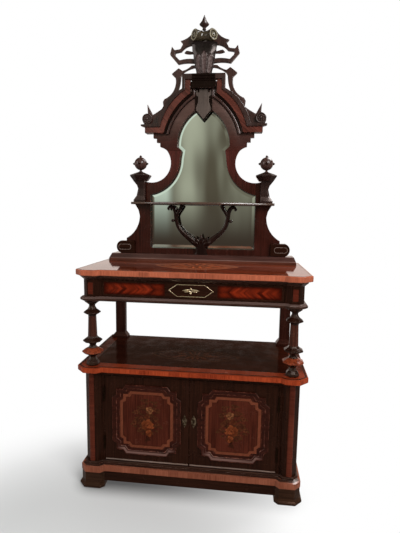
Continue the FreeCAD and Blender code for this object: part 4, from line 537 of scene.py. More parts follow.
def red_veneer(name, along, deep, light, slip=0.045, ior=1.3, film_tint=SHELLAC, dull=(0.12, 0.28),
               striped=0.6, level_shade=0.0):
    """Slips of striped red veneer side by side. Along weighs x, y and z into a length on the band. Without it
    the length is taken along the edge itself: on an upright face along the normal turned a quarter, on a
    level one along x at the front and along y at the sides. Striped is the share of the stripes against the
    tone of whole slips, which differ less on a level face. Level_shade is painted shade: it darkens what
    lies level, more so along the two ends."""
    finish, tree, shader = new_finish(name, ior=ior, specular_tint=film_tint)
    place = object_place(tree)
    if along is None:
        normal = wire(tree, "ShaderNodeNewGeometry").outputs["True Normal"]
        edge_way = vector_maths(tree, "CROSS_PRODUCT", normal, (0, 0, 1))
        upright_run = vector_maths(tree, "DOT_PRODUCT", place, edge_way)
        spot = axes(tree, place)
        at_side = maths(tree, "GREATER_THAN", maths(tree, "ABSOLUTE", spot["X"]), SIDE_BAND)
        level_run = maths(tree, "MULTIPLY_ADD", at_side, maths(tree, "SUBTRACT", spot["Y"], spot["X"]),
                          spot["X"])
        flatness = axes(tree, normal)["Z"]
        run = maths(tree, "MULTIPLY_ADD", level_run, flatness, upright_run)
    else:
        run = vector_maths(tree, "DOT_PRODUCT", place, along)
    slips = place_group(tree, crossband, {"Along": run, "Vector": place, "Slip": slip})
    film = place_group(tree, polish, {"Vector": place})
    stripe = maths(tree, "MULTIPLY", smooth_step(tree, slips["Stripe"], *STRIPE_RANGE), striped)
    share = maths(tree, "MULTIPLY_ADD", slips["Slip Tone"], 1 - striped, stripe)
    if along is None:
        quiet = maths(tree, "MULTIPLY_ADD", flatness, -LEVEL_CALM, 1.0)
        share = maths(tree, "MULTIPLY_ADD", maths(tree, "SUBTRACT", share, MIDDLE_TONE), quiet, MIDDLE_TONE)
    tone = blend_colour(tree, share, deep, light)
    tone = blend_colour(tree, maths(tree, "MULTIPLY", slips["Joint"], JOINT_SHARE), tone, JOINT_TONE)
    # Painted shade: level faces darken, more so along the two ends.
    if level_shade:
        ends = maths(tree, "MULTIPLY", at_side, smooth_step(tree, spot["Y"], *END_SHADE))
        depth = ranging(tree, ends, level_shade, END_DEPTH)
        lying = maths(tree, "MULTIPLY", maths(tree, "MAXIMUM", flatness, 0.0), depth)
        tone = blend_colour(tree, lying, tone, LEVEL_SHADE_TONE)
    lay_on(tree, shader, tone, ranging(tree, film["Smudge"], *dull), film["Ripple"])
    return finish


print("veneer recipe ready")

# %% Red veneers by place
UPWARD, UP_THE_ARCH = (0, 0, 1.0), (0.7, 0, 0.9)
# The waist shelf takes painted shade on its level faces, as under the top board.
edge_veneer = red_veneer("edge_veneer", None, (0.115, 0.0120, 0.0034), (0.345, 0.0515, 0.0156), striped=0.5,
                         level_shade=0.32)
top_veneer = red_veneer("top_veneer", None, (0.200, 0.0450, 0.0200), (0.445, 0.117, 0.0565), ior=1.5,
                        film_tint=CLEAR, dull=(0.05, 0.12), striped=0.5)
plinth_veneer = red_veneer("plinth_veneer", None, (0.120, 0.0320, 0.0165), (0.255, 0.081, 0.045),
                           striped=0.5)
slope_veneer = red_veneer("slope_veneer", None, (0.080, 0.0215, 0.0105), (0.29, 0.092, 0.052), ior=1.5,
                          film_tint=CLEAR, dull=(0.12, 0.25), striped=0.4)
upright_veneer = red_veneer("upright_veneer", UPWARD, (0.034, 0.0060, 0.0030), (0.118, 0.0240, 0.0130), 0.4,
                            striped=0.4)
block_veneer = red_veneer("block_veneer", UPWARD, (0.026, 0.0036, 0.0017), (0.084, 0.0135, 0.0066), 0.4,
                          striped=0.4)
arch_veneer = red_veneer("arch_veneer", UP_THE_ARCH, (0.036, 0.0080, 0.0050), (0.112, 0.0290, 0.0195), 0.09,
                         ior=1.4, film_tint=CLEAR)
print("veneers ready")

# %% [markdown]
# The drawer's two panels are cut so that their stripes lean and meet in chevrons at half height. The
# length along the figure is the way from the middle of the drawer, less a lean times the height from
# its own middle. Towards the rim of each panel the red dies away.

# %% Chevron veneer
DRAWER_MIDDLE, CHEVRON_LEAN = 0.9405, -1.2
STRIPES, STRIPE_DRIFT, FLAME_RANGE, RIM_SHARE = 30.0, 5.0, (0.28, 0.74), 0.05
FLAME_DEEP, FLAME_RED, CHEVRON_DULL = (0.013, 0.0006, 0.0002), (0.225, 0.020, 0.0046), (0.16, 0.32)
GLOW_HIGH, GLOW_WIDE, GLOW_SOFT = (0.029, 0.012), (0.136, 0.374), 0.022
chevron_veneer, tree, shader = new_finish("chevron_veneer", ior=1.27, specular_tint=SHELLAC)
place = object_place(tree)
spot = axes(tree, place)
height = maths(tree, "ABSOLUTE", maths(tree, "SUBTRACT", spot["Z"], DRAWER_MIDDLE))
aside = maths(tree, "ABSOLUTE", spot["X"])
figure = maths(tree, "MULTIPLY_ADD", height, CHEVRON_LEAN, aside)
figure = wire(tree, "ShaderNodeCombineXYZ", {"X": maths(tree, "MULTIPLY", figure, STRIPES),
                                             "Y": maths(tree, "MULTIPLY", spot["Z"], STRIPE_DRIFT)})
flame = smooth_step(tree, noise(tree, figure.outputs[0], 1.0, 5.0, 0.62), *FLAME_RANGE)
glow = maths(tree, "MULTIPLY", smooth_step(tree, height, *GLOW_HIGH),
             between(tree, aside, *GLOW_WIDE, GLOW_SOFT))
flame = maths(tree, "MULTIPLY", flame, ranging(tree, glow, RIM_SHARE, 1.0))
film = place_group(tree, polish, {"Vector": place})
lay_on(tree, shader, blend_colour(tree, flame, FLAME_DEEP, FLAME_RED),
       ranging(tree, film["Smudge"], *CHEVRON_DULL))
print("chevrons meet at", DRAWER_MIDDLE, "m")

# %% [markdown]
# ## Metal and glass
# The brass is old and lacquered, and its tarnish lies in patches. The locks are plain steel.
# The mirror is silvered plate, so it is a smooth metal with the faint green of thick glass.

# %% Brass, steel and mirror
TARNISH, TARNISH_RANGE, TARNISH_DULL, DENTS = 90.0, (0.5, 0.85), 0.25, 600.0
HAZE, HAZE_RANGE, HAZE_DULL, GLASS_DULL = 9.0, (0.5, 0.8), 0.02, 0.012


def metal(name, clean, tarnished, smooth, share):
    """Metal whose tarnish comes and goes in patches: more of it with a larger share."""
    finish, tree, shader = new_finish(name, metallic=1.0)
    place = object_place(tree)
    low, high = TARNISH_RANGE
    patch = smooth_step(tree, noise(tree, place, TARNISH, 5.0, 0.65), low - share, high - share)
    rough = maths(tree, "MULTIPLY_ADD", patch, TARNISH_DULL, smooth)
    lay_on(tree, shader, blend_colour(tree, patch, clean, tarnished), rough, noise(tree, place, DENTS, 2.0),
           rise=0.06, depth=0.0005)
    return finish


bright_brass = metal("bright_brass", (0.90, 0.74, 0.50), (0.55, 0.36, 0.17), 0.22, 0.05)
old_brass = metal("old_brass", (0.66, 0.48, 0.25), (0.26, 0.155, 0.065), 0.26, 0.1)
dark_brass = metal("dark_brass", (0.035, 0.020, 0.010), (0.014, 0.007, 0.004), 0.4, 0.1)
worn_brass = metal("worn_brass", (0.52, 0.42, 0.29), (0.050, 0.030, 0.016), 0.3, 0.25)
plain_steel = metal("plain_steel", (0.45, 0.44, 0.42), (0.20, 0.18, 0.16), 0.3, 0.0)
silvered, tree, shader = new_finish("silvered_glass", metallic=1.0, base_color=(0.80, 0.84, 0.79, 1))
haze = smooth_step(tree, noise(tree, object_place(tree), HAZE, 4.0), *HAZE_RANGE)
fill(tree, shader.inputs["Roughness"], maths(tree, "MULTIPLY_ADD", haze, HAZE_DULL, GLASS_DULL))
print("metals ready")

# %% [markdown]
# ## Dress the joiner's pieces
# Each piece of the frame takes its finish. The edges of real timber are never knife sharp, so the
# larger pieces also get a small round: a Weld joins the loose triangles, a planar Decimate clears
# the flat faces, and a Bevel rounds what is left, by a little under a millimetre on fine edges and by
# several on the fretted crest.

# %% Give each node its finish
FINISHES = {
    ebony_lying: ["plinth_rails", "cupboard_rail", "crest_roll", "frame_scrolls", "drawer_front"],
    ebony_worn_and_lit: ["cabinet_floor", "frieze_frame"],
    frieze_timber: ["frieze_base"],
    pilaster_timber: ["rear_pilasters"],
    pedestal_timber: ["pedestals"],
    fret_timber: ["crest_fret"],
    foot_timber: ["feet_front"],
    base_timber: ["mirror_base"],
    frame_mahogany: ["mirror_frame_stiles", "mirror_frame_rail"],
    ebony_upright: ["corner_posts", "frieze_blocks", "crest_shield", "left_door_frame", "right_door_frame",
                    "shelf_bracket"],
    high_ebony: ["rosettes", "crest_finial", "ball_finials"],
    cornice_timber: ["cornice"],
    black_timber: ["keystone"],
    column_timber: ["columns"],
    edge_veneer: ["waist_shelf"],
    top_veneer: ["top_board"],
    plinth_veneer: ["plinth_band"],
    arch_veneer: ["cornice_bands"],
    high_mahogany: ["mirror_frame_head"],
    mahogany_lying: ["mirror_shelf", "frieze_walls"],
    mahogany_upright: ["side_panels", "left_door_moulding", "right_door_moulding"],
    door_mahogany: ["left_door_panel", "right_door_panel"],
    plain_lying: ["inner_shelf", "battens_and_runners", "drawer_walls", "drawer_bottom", "cabinet_back"],
    stained_timber: ["feet_rear"],
    plain_upright: ["mirror_backboard"],
    worn_brass: ["left_door_escutcheon", "right_door_escutcheon"],
    old_brass: ["drawer_brasses", "slip_bolt", "slip_bolt_guide"],
    dark_brass: ["left_hinge_leaves", "right_hinge_leaves", "carcase_hinge_leaves", "hinge_pins"],
    plain_steel: ["door_lock_case", "door_lock_bolt", "drawer_lock_case", "drawer_lock_bolt"],
    silvered: ["mirror_glass"],
}
for finish, nodes in FINISHES.items():
    for node in nodes:
        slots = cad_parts[node].data.materials
        slots.clear()
        slots.append(finish)
print("dressed", sum(len(nodes) for nodes in FINISHES.values()), "nodes")

# %% Round the edges
SOFT_EDGE = {"feet_front": 1.2, "plinth_band": 1.0, "cabinet_floor": 3.0, "corner_posts": 1.0,
             "waist_shelf": 1.0, "top_board": 1.0, "frieze_base": 1.0, "frieze_blocks": 0.8,
             "frieze_frame": 1.0, "columns": 0.8, "rear_pilasters": 1.0, "mirror_base": 1.2,
             "mirror_frame_stiles": 1.5, "mirror_frame_head": 1.2, "frame_scrolls": 2.0, "cornice": 2.0,
             "cornice_bands": 0.8, "keystone": 1.0, "crest_fret": 4.5, "pedestals": 0.8,
             "mirror_shelf": 2.0, "shelf_bracket": 2.0}
WELD_REACH, FLAT_ANGLE, EDGE_ANGLE = 0.00002, math.radians(0.5), math.radians(25)
for node, width in SOFT_EDGE.items():
    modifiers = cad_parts[node].modifiers
    modifiers.new("weld", "WELD").merge_threshold = WELD_REACH
    clear = modifiers.new("clear", "DECIMATE")
    clear.decimate_type, clear.angle_limit = "DISSOLVE", FLAT_ANGLE
    ease = modifiers.new("ease", "BEVEL")
    ease.width, ease.segments, ease.limit_method = width * MM, 2, "ANGLE"
    ease.angle_limit, ease.harden_normals = EDGE_ANGLE, True
print("rounded", len(SOFT_EDGE), "nodes")

# %% [markdown]
# ## Surfaces from arrays
# Every new piece below is a grid of points worked out at once with numpy: one direction runs along
# the piece and the other across or round it. `add_piece` turns the grid into a mesh, joins the seam,
# points the faces outwards, and lets the piece ride on the body that carries it.

# %% Faces of a grid
def grid_faces(rows, columns, ring=False):
    """The quads of a grid that is closed across. A ring also joins its last row to its first."""
    row, column = np.meshgrid(np.arange(rows - (not ring)), np.arange(columns), indexing="ij")
    row, column = row.ravel(), column.ravel()
    next_row, next_column = (row + 1) % rows, (column + 1) % columns
    return np.stack([row * columns + column, row * columns + next_column,
                     next_row * columns + next_column, next_row * columns + column], 1).tolist()


def tube_faces(rows, columns):
    """The quads between rings of points, with a face over the first and the last ring."""
    caps = [list(range(columns)), list(range((rows - 1) * columns, rows * columns))]
    return grid_faces(rows, columns) + caps


def tube(points):
    """A shell from rings of points: the points and their faces."""
    return points, tube_faces(*points.shape[:2])


def joined(shells):
    """Several shells as one list of points and one of faces."""
    points, faces, start = [], [], 0
    for shell_points, shell_faces in shells:
        flat = np.reshape(shell_points, (-1, 3))
        points.append(flat)
        faces += [[corner + start for corner in face] for face in shell_faces]
        start += len(flat)
    return np.concatenate(points), faces


print("shell helpers ready")

# %% From a shell to a piece
def add_piece(name, points, faces, finish, body, slot, stands_for=(), sharp=32, tints=None):
    """A piece from points in millimetres: doubles joined, faces outwards, smooth up to a sharp angle.
    Tints are a colour for each point."""
    mesh = bpy.data.meshes.new(name)
    mesh.from_pydata((np.reshape(points, (-1, 3)) * MM).tolist(), [], faces)
    if tints is not None:
        layer = mesh.color_attributes.new(POINT_COLOUR_AND_SHADE, "FLOAT_COLOR", "POINT")
        layer.data.foreach_set("color", np.reshape(tints, -1).astype(np.float32))
    shell = bmesh.new()
    shell.from_mesh(mesh)
    bmesh.ops.remove_doubles(shell, verts=shell.verts, dist=1e-6)
    bmesh.ops.recalc_face_normals(shell, faces=shell.faces)
    shell.to_mesh(mesh)
    shell.free()
    mesh.polygons.foreach_set("use_smooth", np.ones(len(mesh.polygons), bool))
    mesh.set_sharp_from_angle(angle=math.radians(sharp))
    mesh.materials.append(finish)
    made = into_scene(name, mesh)
    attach(made, body)
    if stands_for:
        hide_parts(*stands_for)
    print(name, len(mesh.polygons), "faces on", body)


print("piece helpers ready")

# %% [markdown]
# Most pieces are a moulding, a slip or a turning. A moulding is a profile carried along a path with a
# mitre at each corner, a slip of veneer is an outline with a thickness, and a turning is a profile
# swept round an axis. A flat drawing becomes solid when it is put on the front or on a level.

# %% Planes and mouldings
SUNK = 0.3


def on_front(depth):
    """Flat points and heights put on an upright plane at a depth, heights towards the viewer."""
    return lambda flat, height: np.stack([flat[..., 0], depth - height, flat[..., 1]], -1)


def on_top(level):
    """Flat points and heights put on a level plane, heights upwards."""
    return lambda flat, height: np.stack([flat[..., 0], flat[..., 1], level + height], -1)


def mitres(path, closed=True):
    """Outward side vectors of a flat path, anticlockwise: the normals of the two runs that meet, added
    and divided by one plus their dot product, so that a band keeps its width round a corner."""
    run = np.roll(path, -1, 0) - path
    normal = np.stack([run[:, 1], -run[:, 0]], 1) / np.linalg.norm(run, axis=1, keepdims=True)
    before = np.roll(normal, 1, 0)
    if not closed:
        before[0], normal[-1] = normal[0], normal[-2]
    return (before + normal) / (1 + (before * normal).sum(1, keepdims=True))


def carried(path, profile, place, closed=True):
    """A profile of (outward, height) carried along a flat path. A profile for each point of the path
    may be given, for a strip that swells and tapers. Gives points and faces of a closed shell."""
    path, profile = np.asarray(path, float), np.asarray(profile, float)
    if profile.ndim == 2:
        profile = np.broadcast_to(profile, (len(path), *profile.shape))
    flat = path[:, None, :] + mitres(path, closed)[:, None, :] * profile[..., :1]
    points = place(flat, profile[..., 1])
    if not closed:
        return tube(points)
    return points, grid_faces(*points.shape[:2], ring=True)


def strip(path, profile, place):
    """A profile carried along an open path."""
    return carried(path, profile, place, closed=False)


def framed(path, width, place, thickness, sunk=SUNK):
    """A narrow raised line just inside a closed path."""
    return carried(path, [(0, -sunk), (0, thickness), (-width, thickness), (-width, -sunk)], place)


print("moulding helpers ready")

# %% Slips and turnings
def plate(path, place, thickness):
    """A flat slip of veneer of any outline: its rim and its two faces."""
    path = np.asarray(path, float)
    return tube(place(np.stack([path, path]), np.array([[-SUNK], [thickness]]) * np.ones((1, len(path)))))


def ways(angle):
    """Flat directions, one long, at given angles."""
    return np.stack([np.cos(angle), np.sin(angle)], 1)


def hoop(count):
    """Points round a circle of radius one."""
    return ways(np.linspace(0, math.tau, count, endpoint=False))


def turned(profile, centre, axis, count):
    """A profile of (radius, height) swept round an axis through a centre."""
    profile = np.asarray(profile, float)
    axis = np.asarray(axis, float)
    side = unit(np.cross(axis, (0, 0, 1) if abs(axis[2]) < 0.9 else (1, 0, 0)))
    spokes = hoop(count) @ np.stack([side, np.cross(axis, side)])
    return tube(np.asarray(centre, float) + profile[:, None, 1:] * axis + profile[:, None, :1] * spokes)


print("turning helpers ready")

# %% Outlines and curves
SIDES = {"left": -1, "right": 1}


def oblong(low, high):
    """A rectangle from its low to its high corner, anticlockwise."""
    return np.array([low, (high[0], low[1]), high, (low[0], high[1])], float)


def arc(start, via, end, count):
    """Points on the circle through three flat points, from the first to the last."""
    (ax, ay), (bx, by), (cx, cy) = start, via, end
    turn = 2 * (ax * (by - cy) + bx * (cy - ay) + cx * (ay - by))
    square = [x * x + y * y for x, y in (start, via, end)]
    centre = np.array([(square[0] * (by - cy) + square[1] * (cy - ay) + square[2] * (ay - by)) / turn,
                       (square[0] * (cx - bx) + square[1] * (ax - cx) + square[2] * (bx - ax)) / turn])
    first, middle, last = [math.atan2(*(np.array(p) - centre)[::-1]) for p in (start, via, end)]
    sweep = (last - first) % math.tau
    if (middle - first) % math.tau > sweep:
        sweep -= math.tau
    return centre + math.dist(centre, start) * ways(first + sweep * np.linspace(0, 1, count))


def smooth_curve(value, low, high):
    """0 below low and 1 above high, easing between them, for arrays."""
    share = np.clip((value - low) / (high - low), 0, 1)
    return share * share * (3 - 2 * share)


def mirrored_x(shell):
    """The same shell on the other side of the middle."""
    return np.reshape(shell[0], (-1, 3)) * (-1, 1, 1), shell[1]


def pair(shell):
    """A shell and its mirror image, joined."""
    return joined([shell, mirrored_x(shell)])


def opaque(tones):
    """Colours with a full fourth channel."""
    return np.concatenate([tones, np.ones((*tones.shape[:-1], 1))], -1)


print("outline helpers ready")

# %% [markdown]
# ## Marquetry veneers
# Inlay is many small slips of differently coloured wood let into one surface. Each slip here carries
# its own colour in an attribute on its points, shaded darker towards the root as hot sand shades a
# real slip, and one finish reads that colour and lays fine grain and polish over it.

# %% Marquetry finish
INLAY_TURN, INLAY_GRAIN, GRAIN_SHADE, INLAY_DULL = (0, 0.9, 0), 3.0, (0.15, 1.65), (0.09, 0.19)
inlay_finish, tree, shader = new_finish("inlay_veneer", ior=1.27, specular_tint=SHELLAC)
place = object_place(tree)
own_colour = wire(tree, "ShaderNodeAttribute", attribute_name=POINT_COLOUR_AND_SHADE).outputs["Color"]
lines = place_group(tree, grain, {"Vector": stretched(tree, place, (1, 1, 1), INLAY_TURN),
                                  "Scale": INLAY_GRAIN})
shade = ranging(tree, lines["Streaks"], *GRAIN_SHADE)
shade = wire(tree, "ShaderNodeCombineColor", {0: shade, 1: shade, 2: shade}).outputs[0]
film = place_group(tree, polish, {"Vector": place})
lay_on(tree, shader, blend_colour(tree, 1.0, own_colour, shade, "MULTIPLY"),
       ranging(tree, film["Smudge"], *INLAY_DULL), film["Ripple"])
print("marquetry finish ready")

# %% [markdown]
# ## The doors' mouldings
# Each door carries a raised frame with stepped corners. A joiner runs the moulding on a long strip and
# mitres it at each corner, and the same happens here: one profile, a high round at the outer edge,
# a long slope inwards and a thin flat border, is carried round the stepped outline with a mitre at
# each turn. Dark fillets fill its corners, and a band of inlay runs inside it.

# %% Door mouldings and inlay bands
DOOR_CENTRE_X, DOOR_CENTRE_Z, DOOR_FRONT = 199.5, 324.0, -207.0
# Half width, half height, notch, ear and slant of the stepped outlines
MOULDING_OUTLINE, INLAY_OUTLINE = (160.5, 169, 20, 44, 14), (118, 131, 15, 31, 9)
FILLET_PROUD = 0.3
MOULDING = [(0, -0.3), (0, 7.4), (-2.2, 7.4), (-3.8, 7.0), (-5.4, 6.3), (-7.6, 5.3), (-9.8, 4.3),
            (-12.0, 3.3), (-13.6, 2.7), (-17.2, 2.6), (-18.0, 1.8), (-18.0, 0.25), (-33.0, 0.25),
            (-33.0, -0.3)]
INLAY = [(8.0, -0.2), (8.0, 0.35), (6.7, 0.35), (6.5, 0.35), (-6.5, 0.35), (-6.7, 0.35), (-8.0, 0.35),
         (-8.0, -0.2)]
LINE_TONE, BAND_TONE, STRING_TONE = (0.010, 0.004, 0.002), (0.128, 0.0335, 0.0165), (0.16, 0.055, 0.026)
INLAY_TONES = np.array([LINE_TONE] * 3 + [BAND_TONE] * 2 + [LINE_TONE] * 3)


def stepped(half_wide, half_high, notch, ear, slant, centre):
    """A rectangle whose corners step in by a notch, with slanted ears, anticlockwise."""
    corner = np.array([(0, notch + ear), (notch, notch + ear - slant), (notch, notch),
                       (notch + ear - slant, notch), (notch + ear, 0)]) - (half_wide, half_high)
    return np.concatenate([corner, corner[::-1] * (-1, 1), -corner, corner[::-1] * (1, -1)]) + centre


on_door = on_front(DOOR_FRONT)
for name, side in SIDES.items():
    centre = np.array((side * DOOR_CENTRE_X, DOOR_CENTRE_Z))
    outline = stepped(*MOULDING_OUTLINE, centre)
    add_piece(f"{name}_door_raised_moulding", *carried(outline, MOULDING, on_door), moulding_timber,
              f"{name}_door", "mahogany", [f"{name}_door_moulding"], sharp=40)
    squares = oblong(centre - MOULDING_OUTLINE[:2], centre + MOULDING_OUTLINE[:2])
    fillets = [plate([*turns, square], on_door, FILLET_PROUD)
               for turns, square in zip(outline.reshape(4, 5, 2), squares)]
    add_piece(f"{name}_door_corner_fillets", *joined(fillets), ebony_upright, f"{name}_door", "ebonised")
    points, faces = carried(stepped(*INLAY_OUTLINE, centre), INLAY, on_door)
    add_piece(f"{name}_door_inlay_band", points, faces, inlay_finish, f"{name}_door", "marquetry",
              tints=opaque(np.broadcast_to(INLAY_TONES, points.shape)))

# %% [markdown]
# ## The bouquets
# In the middle of each door is a spray of flowers: a full rose low down, smaller flowers, buds and
# leaves above it, and the stalks tied below. Every petal and leaf is the same lens-shaped slip, set at
# its own root and angle, so a whole bouquet is one call on arrays. The right door's spray mirrors the
# left one, as when two sheets are cut together.

# %% Lens-shaped slips
PETAL_ROWS, PETAL_ROUND = 7, 8


def petals(roots, angles, lengths, widths, bends, lift, skew=0.85, blunt=1.0):
    """Lens-shaped slips, as flat points and heights. Along a slip, t runs from 0 to 1: the half width is the
    sine of pi times t to the power skew, and that to the power blunt, and the spine bends aside with t
    squared. Round it, an angle closes the lens from face to back. One value may stand for all slips."""
    t, turn = np.meshgrid(np.linspace(0.03, 0.97, PETAL_ROWS),
                          np.linspace(0, math.tau, PETAL_ROUND, endpoint=False), indexing="ij")
    root, each = np.asarray(roots, float), np.ones(len(roots))
    length, width, bend, rise = [(np.asarray(v, float) * each)[:, None, None]
                                 for v in (lengths, widths, bends, lift)]
    along = length * t
    aside = width / 2 * np.sin(math.pi * t ** skew) ** blunt * np.cos(turn) + bend * length * t ** 2
    height = rise * np.sin(math.pi * t) * (0.45 + 0.55 * np.sin(turn))
    c, s = np.cos(angles)[:, None, None], np.sin(angles)[:, None, None]
    return np.stack([root[:, 0, None, None] + along * c - aside * s,
                     root[:, 1, None, None] + along * s + aside * c], -1), height


def slips(flat, height, place):
    """Lens-shaped slips put on a plane: their points, and the faces of each."""
    one, size = tube_faces(PETAL_ROWS, PETAL_ROUND), PETAL_ROWS * PETAL_ROUND
    faces = [[corner + start for corner in face] for start in range(0, height.size, size) for face in one]
    return place(flat, height), faces


def slip_tints(root_tones, tip_tones):
    """Colours shaded along each slip from its root to its tip."""
    t = np.linspace(0, 1, PETAL_ROWS)[None, :, None, None]
    tones = np.asarray(root_tones)[:, None, None, :] * (1 - t) + np.asarray(tip_tones)[:, None, None, :] * t
    return opaque(np.broadcast_to(tones, (len(tones), PETAL_ROWS, PETAL_ROUND, 3)))


print("each slip has", PETAL_ROWS * PETAL_ROUND, "points")

# %% Colours and flowers
ROSE, CREAM, TAN = (0.30, 0.070, 0.022), (0.34, 0.125, 0.050), (0.100, 0.027, 0.011)
ROSE_ROOT, SHADED = (0.050, 0.009, 0.003), (0.036, 0.009, 0.004)
LEAF_ROOT, LEAF_TIP = (0.024, 0.007, 0.003), (0.064, 0.021, 0.008)
# Centre, radius, petals in a ring, rings, root and tip colour
FLOWERS = [((4, -20), 32, 5, 4, ROSE_ROOT, ROSE), ((14, 54), 18, 5, 3, SHADED, CREAM),
           ((-32, 6), 18, 5, 2, SHADED, TAN), ((38, 14), 16, 5, 2, SHADED, TAN),
           ((2, 24), 15, 5, 2, ROSE_ROOT, TAN), ((-24, 66), 13, 5, 2, SHADED, TAN),
           ((-48, 42), 10, 4, 1, SHADED, TAN), ((46, 56), 10, 4, 1, SHADED, TAN),
           ((34, 90), 9, 4, 1, SHADED, TAN), ((-8, 98), 10, 4, 1, SHADED, TAN),
           ((-58, -10), 11, 4, 1, SHADED, TAN), ((60, -20), 10, 4, 1, SHADED, TAN),
           ((12, -58), 17, 5, 3, ROSE_ROOT, ROSE), ((-28, -40), 10, 4, 1, SHADED, TAN)]
# Leaves on a stalk: place along it, lean from it in radians, and length
LEAVES = ((0.35, 0.85, 21), (0.55, -0.85, 24), (0.72, 0.75, 26), (0.88, -0.75, 25), (1.0, 1.1, 22),
          (1.02, -1.1, 20))
LEAF_WIDTH, LEAF_BEND, LEAF_LIFT = 10.0, 0.25, 0.25
PETAL_LIFT, PETAL_BEND, PETAL_SPREAD, PETAL_SKEW, PETAL_BLUNT = (0.32, 0.33), -0.12, 4.7, 1.35, 0.6
ROOT_SHARE, RING_TURN, TONE_SEED = 0.05, 0.63, 5
KNOT = np.array((6, -70))
print("flowers", len(FLOWERS), "with", len(LEAVES), "leaves on each stalk")

# %% Petals and leaves
leaf_rows, petal_rows, root_tones, tip_tones = [], [], [], []
for head, radius, ring, rings, root_tone, tip_tone in FLOWERS:
    stalk = np.array(head) - KNOT
    leaf_rows += [(*(KNOT + stalk * spot), math.atan2(stalk[1], stalk[0]) + lean, length, LEAF_WIDTH,
                   LEAF_BEND * lean) for spot, lean, length in LEAVES]
    for layer in range(rings):
        reach = radius * (1 - layer / (rings + 0.4))
        turn = math.tau * np.arange(ring) / ring + RING_TURN * layer + 0.01 * head[0]
        roots = np.array(head) + ROOT_SHARE * reach * ways(turn)
        petal_rows += [(*root, angle, reach, reach * PETAL_SPREAD / ring, PETAL_BEND)
                       for root, angle in zip(roots, turn)]
        root_tones += [root_tone] * ring
        tip_tones += [tuple(c * (0.55 + 0.45 * (layer + 1) / rings) for c in tip_tone)] * ring
leaf_rows, petal_rows = np.array(leaf_rows), np.array(petal_rows)
uneven = np.random.default_rng(TONE_SEED).random((len(petal_rows), 1))
tip_tones = np.array(tip_tones) * (0.30 + 0.85 * uneven)
lift = PETAL_LIFT[0] + PETAL_LIFT[1] * np.arange(len(petal_rows)) / len(petal_rows)
leaves = petals(leaf_rows[:, :2], *leaf_rows[:, 2:].T, LEAF_LIFT)
blooms = petals(petal_rows[:, :2], *petal_rows[:, 2:].T, lift, PETAL_SKEW, PETAL_BLUNT)
spray_flat, spray_height = [np.concatenate(parts) for parts in zip(leaves, blooms)]
leaf_tones = [np.tile(tone, (len(leaf_rows), 1)) for tone in (LEAF_ROOT, LEAF_TIP)]
spray_tints = np.concatenate([slip_tints(*leaf_tones), slip_tints(root_tones, tip_tones)])
print("petals", len(petal_rows), "leaves", len(leaf_rows))

# %% [markdown]
# Each stalk is a curve with four handles, from the foot of the bunch past the knot to its flower. A fine
# raised strip is carried along it.

# %% Stalks and sprays
STALK = [(0.7, -0.2), (0.5, 0.25), (-0.5, 0.25), (-0.7, -0.2)]
SPRAY_DROP, SPRAY_PROUD = 4, 0.1
heads = np.array([flower[0] for flower in FLOWERS], float)
t = np.linspace(0, 1, 9)[:, None, None]
foot = np.array((8, -98)) + np.linspace(-16, 12, len(heads))[:, None] * (1, 0.25)
elbow = KNOT + (heads - KNOT) * (0.15, 0.45)
stalks = foot * (1 - t) ** 3 + 3 * KNOT * t * (1 - t) ** 2 + 3 * elbow * t ** 2 * (1 - t) + heads * t ** 3
for name, side in SIDES.items():
    centre = np.array((side * DOOR_CENTRE_X, DOOR_CENTRE_Z - SPRAY_DROP))
    mirror = np.array((-side, 1))
    stems = [strip(stalks[:, i] * mirror + centre, STALK, on_door) for i in range(len(heads))]
    spray = slips(spray_flat * mirror + centre, spray_height, on_front(DOOR_FRONT - SPRAY_PROUD))
    points, faces = joined([*stems, spray])
    stem_tints = np.tile((*LEAF_ROOT, 1.0), (len(points) - spray_height.size, 1))
    add_piece(f"{name}_door_bouquet", points, faces, inlay_finish, f"{name}_door", "marquetry", sharp=60,
              tints=np.concatenate([stem_tints, spray_tints.reshape(-1, 4)]))

# %% [markdown]
# ## Strips and panels of red veneer
# The corner posts have a bowed strip of red veneer, the blocks beside the drawer a small flat panel,
# and the drawer front two long panels whose stripes meet in chevrons. These are thin sheets in life,
# too thin for the joiner's model, so they are laid on here, with a dark line round each panel.

# %% Post strips, block insets and drawer panels
POST_FRONT, STRIP_X, STRIP_LOW, STRIP_HIGH = -224.0, 454.5, 117.0, 552.0
# Near and far side, low and high edge, width and height of the dark line
BLOCK_PANEL, DRAWER_PANEL = (436.0, 463.0, 911, 968, 2.0, 1.2), (114.0, 396.0, 910.5, 970.5, 2.5, 1.0)
PANEL_PROUD = 0.5
BOWED = [(12.5, -0.3), (12.5, 0.8), (10, 3.2), (5.5, 5.0), (0, 5.6), (-5.5, 5.0), (-10, 3.2), (-12.5, 0.8),
         (-12.5, -0.3)]


def panel_pair(near, far, low, high, line, line_proud, place):
    """A thin panel on each side of the middle, and the raised line round it."""
    outlines = [oblong((min(side * near, side * far), low), (max(side * near, side * far), high))
                for side in SIDES.values()]
    return (joined([plate(outline, place, PANEL_PROUD) for outline in outlines]),
            joined([framed(outline, line, place, line_proud) for outline in outlines]))


